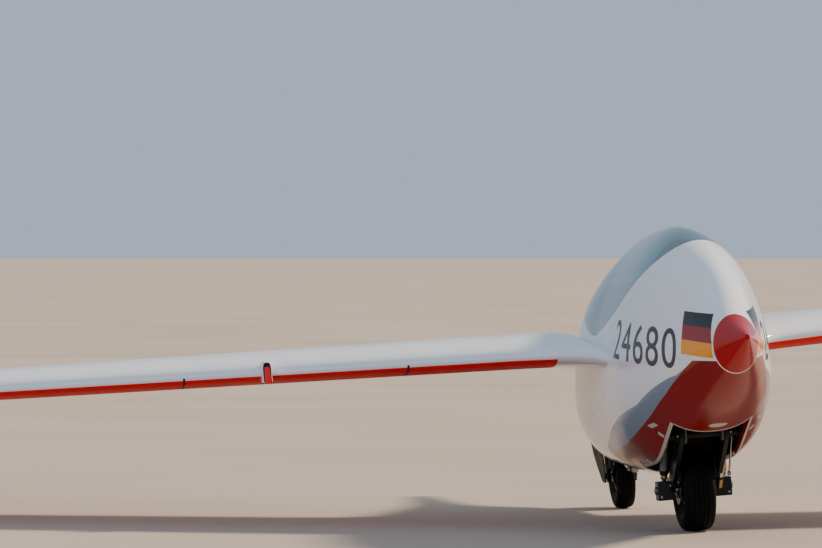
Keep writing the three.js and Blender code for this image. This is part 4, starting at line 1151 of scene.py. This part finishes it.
# Brackets, bolts, gussets and a thin chrome link in the front well
bm = bmesh.new()
pivotY, pivotZ = gear["pivot"]
bracket = ((-0.026, 0.064), (-0.020, -0.016), (-0.008, -0.026), (0.010, -0.026), (0.024, -0.014), (0.034, 0.064))
gusset = [(1.062, 0.178), (1.168, 0.180), (1.168, 0.246), (1.150, 0.262), (1.080, 0.262)]
for way in (-1, 1):
    addPlate(bm, [(pivotY + y, pivotZ + z) for y, z in bracket], way * 0.0650, way * 0.0580)
    addPlate(bm, gusset, way * 0.0665, way * 0.0590, 2)
    eyeRing(bm, (way * 0.0885, pivotY, pivotZ), 0.0125, 0.0185, 32, 2)
    for x, y, z, axis, size in ((0.0615, pivotY - 0.021, pivotZ + 0.030, (0, -1, 0), 0.0045),
                                (0.0885, pivotY - 0.0185, pivotZ, (0, -1, 0), 0.0035),
                                (0.082, 1.1302, 0.160, (0, -1, 0), 0.0045),
                                (0.114, 1.1302, 0.124, (0, -1, 0), 0.0045),
                                (0.075, 1.0985, 0.1602, (0, -0.6, -0.8), 0.0035)):
        addBolt(bm, (way * x, y, z), axis, size, 1)
for y, z in ((1.010, 0.330), (1.126, 0.186)):
    eyeRing(bm, (0.1175, y, z), 0.0032, 0.0078, 24, 1)
    addBolt(bm, (0.1225, y, z), (1, 0, 0), 0.0035, 1)
# link rod and damper rod, then the gas unit's body, collar and piston
addRods(bm, [((0.1175, 1.010, 0.3300), (0.1175, 1.128, 0.1830), 0.0036, 16, 3),
             ((0.1010, 0.995, 0.3550), (0.1000, 1.118, 0.2160), 0.0055, 16),
             ((0.078, 1.106, 0.1450), (0.078, 1.079, 0.1790), 0.0105, 28, 4, None, 0.0015),
             ((0.078, 1.082, 0.1750), (0.078, 1.076, 0.1830), 0.0135, 28, 2, None, 0.0015),
             ((0.078, 1.076, 0.1830), (0.078, 1.036, 0.2320), 0.0120, 28, 3, None, 0.0015)])
addPiece("gear_fittings", bm, "slatePaint groundSteel blackAnodised chromedSteel goldAnodised",
         bevel=0.0006)

# A rigid brake pipe along the arm, with its two unions and the caliper's bolts
bm = bmesh.new()
addTube(bm, [(-0.0635, 1.205, 0.166), (-0.064, 1.180, 0.200), (-0.0665, 1.100, 0.215), (-0.0655, 1.010, 0.285),
             (-0.072, 0.960, 0.345), (-0.085, 0.950, 0.399)], 0.0032, 12)
addTurned(bm, [(0, 0.0048), (0.010, 0.0048), (0.012, 0.0036)], (-0.0635, 1.206, 0.1645), (0, 0, 1), 12, 1)
addTurned(bm, [(0, 0.0050), (0.010, 0.0050)], (-0.085, 0.950, 0.3900), (0, 0, 1), 12, 1)
for y in (1.199, 1.225):
    for z in (0.123, 0.153):
        addBolt(bm, (-0.0677, y, z), (-1, 0, 0), 0.0040, 1)
addPiece("brake_pipe", bm, "blackPowderCoat groundSteel")

# Rear gear: two braces ahead of the fork, lock bolts, and the door's hinge straps
bm = bmesh.new()
addRods(bm, [((-0.047, 2.570, 0.330), (-0.047, 2.606, 0.150), 0.0050, 16),
             ((0.047, 2.570, 0.330), (0.047, 2.606, 0.150), 0.0050, 16),
             ((-0.040, 2.500, 0.212), (0.006, 2.512, 0.148), 0.0040, 16, 1),
             ((-0.040, 2.500, 0.212), (-0.047, 2.585, 0.250), 0.0040, 16, 1),
             ((-0.053, 2.601, 0.215), (-0.0845, 2.60, 0.200), 0.0045, 12),
             ((-0.053, 2.699, 0.215), (-0.0845, 2.70, 0.200), 0.0045, 12)])
for place in ((-0.040, 2.500, 0.212), (0.006, 2.512, 0.148)):
    addTurned(bm, [(-0.005, 0.0075), (0.005, 0.0075)], place, around=24, slot=2)
for way in (-1, 1):
    for y, z in ((2.626, 0.160), (2.664, 0.160), (2.626, 0.230), (2.680, 0.230)):
        addBolt(bm, (way * 0.052, y, z), (way, 0, 0), 0.0042, 2)
addPiece("rear_gear_fittings", bm, "greyPaint chromedSteel groundSteel", bevel=0.0005)

# Rear gear door: a thin plate that follows the belly above and narrows towards the axle, in dull black that is
# painted shade for the shadow on its inner side
doorRows = [(0.098, -0.0655, 2.618, 2.672), (0.108, -0.0670, 2.604, 2.686), (0.150, -0.0725, 2.572, 2.724),
            (0.200, -0.0795, 2.545, 2.755), (None, -0.0870, 2.520, 2.785)]  # height, across, front and back
bm = bmesh.new()
rings = []
for z, x, y0, y1 in doorRows:
    edge = [(x, y) for y in np.linspace(y0, y1, 9)] + [(x + 0.0045, y) for y in np.linspace(y1, y0, 9)]
    rings.append([(px, y, z or skinLow(y, px) - 0.0015) for px, y in edge])
addRings(bm, rings)
addPiece("rear_gear_door_plate", bm, "blackPowderCoat", "airframe", ["rear_gear_door"], 0.0008)

# Rounded end of the tail cone
bm = bmesh.new()
last = skinRing(fuselage["tailEnd"])
middle = last.mean(axis=0)
addRings(bm, [middle + (last - middle) * share + (0, dy, 0)
              for share, dy in ((1, 0), (0.97, 0.004), (0.86, 0.009), (0.6, 0.013), (0.25, 0.0145))])
addPiece("tail_end", bm, "whiteGelcoat")
print("gear built")

cockpit = {
    "seatLine": [(1.375, 0.310), (1.440, 0.272), (1.650, 0.255), (1.725, 0.280), (2.010, 0.735)],
    "dials": [(-0.075, 0.800, 0.036), (0.075, 0.800, 0.036), (0.0, 0.812, 0.030), (-0.075, 0.718, 0.030),
              (0.075, 0.718, 0.030), (0.0, 0.735, 0.036)],  # across, height, radius
    "panelFace": 1.0005,
}


def onPanel(x, z, degrees=0, radius=0, lift=0):
    # a place around a dial's centre, on the panel's rear face
    return x + cos(radians(degrees)) * radius, cockpit["panelFace"] + lift, z + sin(radians(degrees)) * radius


# Dials: bezel, dark face, white marks and a hand, four screws, and three breaker knobs below
bm = bmesh.new()
for x, z, r in cockpit["dials"]:
    bezel = [(-0.004, r + 0.004), (0.004, r + 0.004), (0.006, r + 0.001), (0.006, r - 0.002), (0.002, r - 0.002)]
    for profile, around, slot in ((bezel, 40, 0), ([(0.0015, r - 0.0015), (0.0025, r - 0.0015)], 40, 1),
                                  ([(0.002, 0.0035), (0.0055, 0.0035)], 12, 2)):
        addTurned(bm, profile, onPanel(x, z), (0, 1, 0), around, slot)
    for turn in range(0, 360, 30):
        addRod(bm, onPanel(x, z, turn, r * 0.70, 0.003), onPanel(x, z, turn, r * 0.88, 0.003), 0.0009, 6, 2)
    addRod(bm, onPanel(x, z, lift=0.0038), onPanel(x, z, 55 + 900 * x, r * 0.72, 0.0038), 0.0011, 6, 2, 0.0004)
    for turn in range(45, 360, 90):
        addBolt(bm, onPanel(x, z, turn, r + 0.008), (0, 1, 0), 0.0035, 3)
for x in (-0.03, 0.0, 0.03):
    addTurned(bm, [(0, 0.006), (0.008, 0.006), (0.010, 0.004)], onPanel(x, 0.66), (0, 1, 0), 16)
addPiece("panel_dials", bm, "blackAbs dialFace dialWhite groundSteel")

# Stick: cast foot, bent tube, shaped grip with a button, and a boot round the foot
bm = bmesh.new()
addTurned(bm, [(-0.002, 0.026), (0.004, 0.026), (0.008, 0.020), (0.022, 0.016), (0.024, 0.013)], (0, 1.275, 0.392),
          (0, 0, 1), 28, 1)
addTube(bm, [(0, 1.275, 0.410), (0, 1.272, 0.480), (0, 1.264, 0.560), (0, 1.256, 0.610)], 0.0095, 14)
grip = [(0.604, 0.012), (0.610, 0.016), (0.622, 0.0155), (0.634, 0.0175), (0.646, 0.0160), (0.658, 0.0175),
        (0.668, 0.0165), (0.676, 0.0185), (0.684, 0.0170), (0.689, 0.011)]
addRings(bm, [circle(Vector((0, 1.258 - (z - 0.60) * 0.16, z)), Vector((1, 0, 0)), Vector((0, 1.15, 0)), r, 24)
              for z, r in grip], slot=2)
addTurned(bm, [(0, 0.006), (0.005, 0.006), (0.007, 0.004)], (0, 1.232, 0.680), (0, 0.55, 0.83), 16, 3)
boot = [(0.000, 0.030), (0.008, 0.027), (0.012, 0.030), (0.022, 0.022), (0.026, 0.024), (0.038, 0.016),
        (0.042, 0.017), (0.052, 0.011)]
addTurned(bm, boot, (0, 1.275, 0.400), (0, -0.03, 1), 28, 2)
addPiece("stick", bm, "blackPowderCoat greyPaint blackAbs redFilm", replaces=["control_stick"])

# Side levers: blue airbrake lever and yellow release on the left wall, trim lever on the right
bm = bmesh.new()
for side, y, z, slot in ((1, 1.36, 0.560, 1), (1, 1.20, 0.600, 2), (-1, 1.30, 0.555, 3)):
    wall = skinHalf(y, z) - 0.016
    x0, x1 = sorted((side * wall, side * (wall - 0.010)))
    addBlock(bm, (x0, y - 0.060, z - 0.020), (x1, y + 0.060, z + 0.004))
    top = (side * (wall - 0.045), y - 0.012, z + 0.016)
    addRod(bm, (side * (wall - 0.008), y, z - 0.012), top, 0.005, 12)
    addTurned(bm, [(-0.010, 0.006), (-0.008, 0.010), (0.006, 0.012), (0.013, 0.010), (0.017, 0.004)], top,
              (-side, -0.3, 0.6), 20, slot)
addPiece("side_levers", bm, "blackPowderCoat blueKnob yellowKnob blackAbs", bevel=0.001)

# Sill lining below the canopy frame
bm = bmesh.new()
for side in (-1, 1):
    rings = []
    for y in np.linspace(1.06, 2.26, 40):
        z = min(z for z in np.linspace(0.55, 0.95, 200) if aboveEdge(seamLines, y, z) > -0.012)
        x, foot = (skinHalf(y, high) - 0.0135 for high in (z, z - 0.06))
        rings.append([(side * x, y, z), (side * (x - 0.016), y, z + 0.001), (side * (x - 0.018), y, z - 0.012),
                      (side * foot, y, z - 0.06)])
    addRings(bm, rings)
addPiece("sill_lining", bm, "greyLacquer")

# Pod on the right wing's leading edge: white scoop, a mouth lined in black as painted shade for its dark opening,
# and a red tongue of film hanging from it
pod = {"x": -1.352, "half": 0.0165, "up": 0.035, "ahead": 0.061, "wall": 0.003, "mouth": 0.012, "raised": 0.006}
podLead, _, podZ, _ = stationAt(-pod["x"])
podZ += pod["raised"]
mouthY = podLead - pod["ahead"]
halfArch = [(1, -1), (1, 0.35), (0.93, 0.68), (0.72, 0.90), (0.38, 1.0)]
arch = [(-u, v) for u, v in halfArch] + halfArch[::-1]


def archRing(y, inset=0.0):
    return [(pod["x"] + (pod["half"] - inset) * u, y, podZ + (pod["up"] - inset) * v) for u, v in arch]


bm = bmesh.new()
addRings(bm, [archRing(podLead + 0.03), archRing(mouthY + 0.004), archRing(mouthY, 0.0012),
              archRing(mouthY, pod["wall"])], (True, False))
# the mouth's black lining and back face: painted shade for the dark opening
addRings(bm, [archRing(mouthY, pod["wall"]), archRing(mouthY + pod["mouth"], pod["wall"])], (False, True), 1)
# across, height, half width, place aft
tongue = [(0.0, 0.018, 0.008, 0.0015), (0.0005, 0.006, 0.0095, -0.001), (0.001, -0.010, 0.011, -0.0035),
          (0.0015, -0.026, 0.0122, -0.0045), (0.002, -0.038, 0.0135, -0.0035)]
addRings(bm, [[(pod["x"] + x + wide, mouthY + y + thick, podZ + z)
               for wide, thick in ((-w, 0), (w, 0), (w, 0.0016), (-w, 0.0016))] for x, z, w, y in tongue], slot=2)
addTurned(bm, [(-0.002, 0.004), (0.006, 0.004)], (pod["x"], mouthY + 0.008, podZ + 0.019), (0, -1, 0), 16, 1)
x = pod["x"] + pod["half"]
addBlock(bm, (x + 0.002, podLead - 0.0015, podZ - 0.007), (x + 0.028, podLead + 0.006, podZ + 0.001), 1)
addPiece("wing_pod_scoop", bm, "whiteGelcoat blackAbs redFilm", "airframe", ["wing_pod"], 0.0004)

# Tip skids: a sprung blade of laminate with a steel sole and two bolts
skid = {
    "x": 7.250,
    "sections": [(-0.009, 0.975), (-0.007, 1), (0.007, 1), (0.009, 0.975)],  # across, share of the outline
    "soleHalf": 0.0085,
    "bolts": (0.170, 0.270),
    "outline": [(0.092, 0.064), (0.112, 0.030), (0.131, 0.006), (0.140, 0.0), (0.298, 0.0), (0.312, 0.006),
                (0.336, 0.040), (0.348, 0.066), (0.348, 0.139), (0.092, 0.139)],
    "middle": (0.22, 0.07),
    "sole": [(0.140, 0.0), (0.298, 0.0), (0.296, 0.004), (0.142, 0.004)],
    "floor": 7.2412 * tan(bank),
}
lead, low, half, (middleY, middleZ) = stationAt(skid["x"])[0], skid["floor"], skid["soleHalf"], skid["middle"]
for label, side in sides:
    bm = bmesh.new()
    addRings(bm, [[(side * (skid["x"] + dx), lead + middleY + (back - middleY) * share,
                    low + middleZ + (up - middleZ) * share) for back, up in skid["outline"]]
                  for dx, share in skid["sections"]])
    addPlate(bm, [(lead + y, low + z) for y, z in skid["sole"]], side * (skid["x"] - half),
             side * (skid["x"] + half), 1)
    for back in skid["bolts"]:
        for way in (-half, half):
            addBolt(bm, (side * skid["x"] + way, lead + back, low + 0.040), (way, 0, 0), 0.005, 1)
    addPiece("tip_skid_blade_" + label, bm, "blackAbs groundSteel", "airframe", ["tip_skid_" + label])

seat = {
    "half": 0.150, "pan": 0.0123, "thick": 0.042, "clear": 0.006, "channel": 0.006, "seams": (-0.085, 0.085),
    "cap": 0.013, "voxel": 0.0075, "pressure": 4.0, "frames": 20,
    # across, share of the height
    "crown": [(-1, 0.45), (-0.985, 0.72), (-0.93, 0.92), (-0.8, 1), (0.8, 1), (0.93, 0.92), (0.985, 0.72),
              (1, 0.45)],
}


def seatOffset(line, distance):
    # the line moved out square to itself
    moved = []
    for (ay, az), (y, z), (by, bz) in zip(line[:1] + line, line, line[1:] + line[-1:]):
        length = hypot(by - ay, bz - az)
        moved.append((y - (bz - az) / length * distance, z + (by - ay) / length * distance))
    return moved


def padLine(line, count=8):
    # a little shorter at both ends, with points in between
    ends = []
    for (ay, az), (by, bz) in ((line[0], line[1]), (line[-1], line[-2])):
        share = seat["clear"] / hypot(by - ay, bz - az)
        ends.append((ay + (by - ay) * share, az + (bz - az) * share))
    line = [ends[0]] + line[1:-1] + [ends[1]]
    return np.array([line[0]] + [(ay + (by - ay) * i / count, az + (bz - az) * i / count)
                                 for (ay, az), (by, bz) in zip(line, line[1:]) for i in range(1, count + 1)])


def padBody(base, top, half):
    # rounded in plan and section, a little smaller than the finished pad
    base, top = padLine(base), padLine(top)
    place = np.linspace(0, 1, len(base))
    ends = np.minimum(1, 0.5 + 4 * np.minimum(place, 1 - place)) * (1 - 0.006 / seat["thick"])
    rings = []
    for u, share in seat["crown"]:
        lower, upper = (base + (top - base) * height[:, None] for height in (ends * 0 + 0.04, ends * share))
        rings.append([((half - seat["clear"]) * u, y, z) for y, z in (*lower, *upper[::-1])])
    bm = bmesh.new()
    addRings(bm, rings)
    return bm


def blownUp(piece, way):
    # the cloth swells under pressure; the underside stays flat on the pan, the rest moves no further than the cap
    addModifier(piece, "REMESH", mode="VOXEL", voxel_size=seat["voxel"])
    settle(piece)
    rest = np.array([v.co[:] for v in piece.data.vertices])
    cloth = addModifier(piece, "CLOTH").settings
    cloth.use_pressure, cloth.uniform_pressure_force, cloth.quality = True, seat["pressure"], 4
    cloth.effector_weights.gravity = 0
    for number in range(1, seat["frames"] + 1):
        bpy.context.scene.frame_set(number)
    blown = piece.evaluated_get(bpy.context.evaluated_depsgraph_get()).data
    moved = np.array([v.co[:] for v in blown.vertices]) - rest
    piece.modifiers.clear()
    bpy.context.scene.frame_set(1)
    moved -= np.outer(np.minimum(moved @ np.array(way), 0), way) * 0.9
    moved *= np.minimum(1, seat["cap"] / np.maximum(np.linalg.norm(moved, axis=1, keepdims=True), 1e-9))
    for vertex, place in zip(piece.data.vertices, rest + moved):
        vertex.co = place
    addModifier(piece, "SUBSURF", levels=1)
    settle(piece)
    piece.data.materials.clear()
    piece.data.materials.append(bpy.data.materials["seatCloth"])


def cushionPiece(name, base, top, half, outward, channels, replaced):
    piece = addPiece(name, padBody(base, top, half), "seatCloth", replaces=[replaced])
    way = tilt.to_3x3() @ Vector((0, *outward)).normalized()
    blownUp(piece, way)
    # sewn channels pressed into the upper side
    deep = seat["channel"]
    level = [toLevel @ v.co for v in piece.data.vertices]
    for vertex, place in zip(piece.data.vertices, level):
        if vertex.normal.dot(way) > 0.2:
            away = [place.y * y + place.z * z - along for y, z, along in channels]
            away += [place.x - x for x in seat["seams"]]
            vertex.co -= way * deep * min(sum(exp(-(distance / deep) ** 2) for distance in away), 1.0)
    piece.data.shade_smooth()
    return piece


seatPlane = seatOffset(cockpit["seatLine"], seat["pan"])
seatCrown = seatOffset(seatPlane, seat["thick"])
(lowY, lowZ), (highY, highZ) = seatPlane[3:]
backLength = hypot(highY - lowY, highZ - lowZ)
backWay = ((highY - lowY) / backLength, (highZ - lowZ) / backLength)
backOut = (-backWay[1], backWay[0])
seatUp = (-0.1, 1)
seatPad = cushionPiece("seat_cushion_sewn", seatPlane[:3], seatCrown[:3], seat["half"], seatUp,
                       [(1, 0, y) for y in (1.45, 1.52, 1.59)], "seat_cushion")
start = lowY * backWay[0] + lowZ * backWay[1]
(crownY, crownZ), crownTop = seatCrown[3:]
backPad = cushionPiece("back_cushion_sewn", seatPlane[3:], [(crownY, crownZ + 0.012), crownTop], seat["half"],
                       backOut, [(*backWay, start + backLength * k) for k in (0.25, 0.5, 0.75)],
                       "back_cushion")


def backPlace(up, out):
    y, z = cockpit["seatLine"][4]
    return (y + backWay[0] * up + backOut[0] * out, z + backWay[1] * up + backOut[1] * out)


cushionPiece("headrest_padded", [backPlace(0.003, 0.004), backPlace(0.108, 0.004)],
             [backPlace(0.006, 0.036), backPlace(0.106, 0.040)], 0.075, backOut, [], "headrest")

# Harness webbing laid on the cushions, down to a round buckle
harness = {"width": 0.042, "thick": 0.0018, "lift": 0.0012}
bm = bmesh.new()
for pad in (seatPad, backPad):
    bm.from_mesh(pad.data)
cushionTree = BVHTree.FromBMesh(bm)
bm.free()


def onCushion(x, y, z, way):
    place, out = Vector((x, y, z)), Vector((0, *way))
    turned = tilt.to_3x3() @ out
    hit = cushionTree.ray_cast(toFrame @ place + turned * 0.15, -turned, 0.4)[0]
    return (toLevel @ hit if hit else place) + out * harness["lift"]


def webStrap(bm, places, way, across):
    side = Vector(across).normalized() * harness["width"] / 2
    out = Vector((0, *way)).normalized() * harness["thick"]
    addRings(bm, [[place - side, place + side, place + side + out, place - side + out] for place in places])


bm = bmesh.new()
for way in (-1, 1):
    shoulder = [onCushion(way * (0.030 + 0.035 * min(1, 2.2 * t)), lowY + (highY - lowY) * t,
                          lowZ + (highZ - lowZ) * t, backOut) for t in np.linspace(0.985, 0.06, 26)]
    webStrap(bm, shoulder, backOut, (1, 0, 0))
    lap = [onCushion(way * (0.146 - 0.110 * t), 1.628 + 0.010 * t, 0.29, seatUp) for t in np.linspace(0, 1, 18)]
    webStrap(bm, lap, seatUp, (0.12 * way, 1, 0.02))
centre = onCushion(0, 1.636, 0.29, seatUp) + Vector((0, -0.0003, 0.003))
addTurned(bm, [(0, 0.031), (0.010, 0.031), (0.013, 0.028), (0.013, 0.020), (0.017, 0.018), (0.019, 0.012)], centre,
          (0, -0.1, 1), 36, 1)
for angle in (35, 145, 180, 0):
    out = Vector((cos(radians(angle)), sin(radians(angle)), 0))
    base = centre + Vector((0, 0, 0.005))
    addRod(bm, base + out * 0.024, base + out * 0.044, 0.010, 10, 2)
addPiece("harness", bm, "harnessWebbing groundSteel blackAbs", bevel=0.0003)

# Hood over the panel, with a rolled edge towards the pilot
hood = {"inset": 0.040, "thick": 0.004, "y": (0.740, 1.012), "bottom": 0.770, "edge": 0.0045}


def hoodArc(y, inset, count=40):
    _, top, half, widest, upper, _ = (float(v) for v in sectionAt(y))
    rise = top - widest - inset
    start = asin(min(1, ((hood["bottom"] - widest) / rise) ** (upper / 2)))
    power, wide = 2 / upper, half - inset
    return [(wide * copysign(abs(cos(a)) ** power, cos(a)), y, widest + rise * sin(a) ** power)
            for a in np.linspace(start, pi - start, count)]


inset, thick, (y0, y1) = hood["inset"], hood["thick"], hood["y"]
bm = bmesh.new()
addRings(bm, [hoodArc(y, inset) + hoodArc(y, inset + thick)[::-1] for y in np.linspace(y0, y1, 14)])
addTube(bm, hoodArc(y1 - 0.001, inset + thick / 2, 26), hood["edge"], steps=2)
addPiece("hood_moulded", bm, "blackAbs", replaces=["panel_hood"], sharp=60)
print("cabin built")

# CAD nodes that stay: a finish and a small rounded edge each
nodeFinishes = {
    "airbrake_left": ("cappedAluminium", 0.0008), "airbrake_right": ("cappedAluminium", 0.0008),
    "seat_pan": ("greyLacquer", 0.002), "instrument_panel": ("greyLacquer", 0.001),
    "rudder_pedals": ("blackPowderCoat", 0.0015), "front_gear_frame": ("blackPowderCoat", 0.0015),
    "swing_arm_left": ("blackAnodised", 0.0015), "swing_arm_right": ("blackAnodised", 0.0015),
    "brake_caliper": ("blackAnodised", 0.0015), "rear_fork": ("blackPowderCoat", 0.0015),
    "tow_hook": ("groundSteel", 0.0012),
}
for name, (material, width) in nodeFinishes.items():
    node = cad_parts[name]
    node.data.materials.clear()
    node.data.materials.append(bpy.data.materials[material])
    roundEdges(node, width)
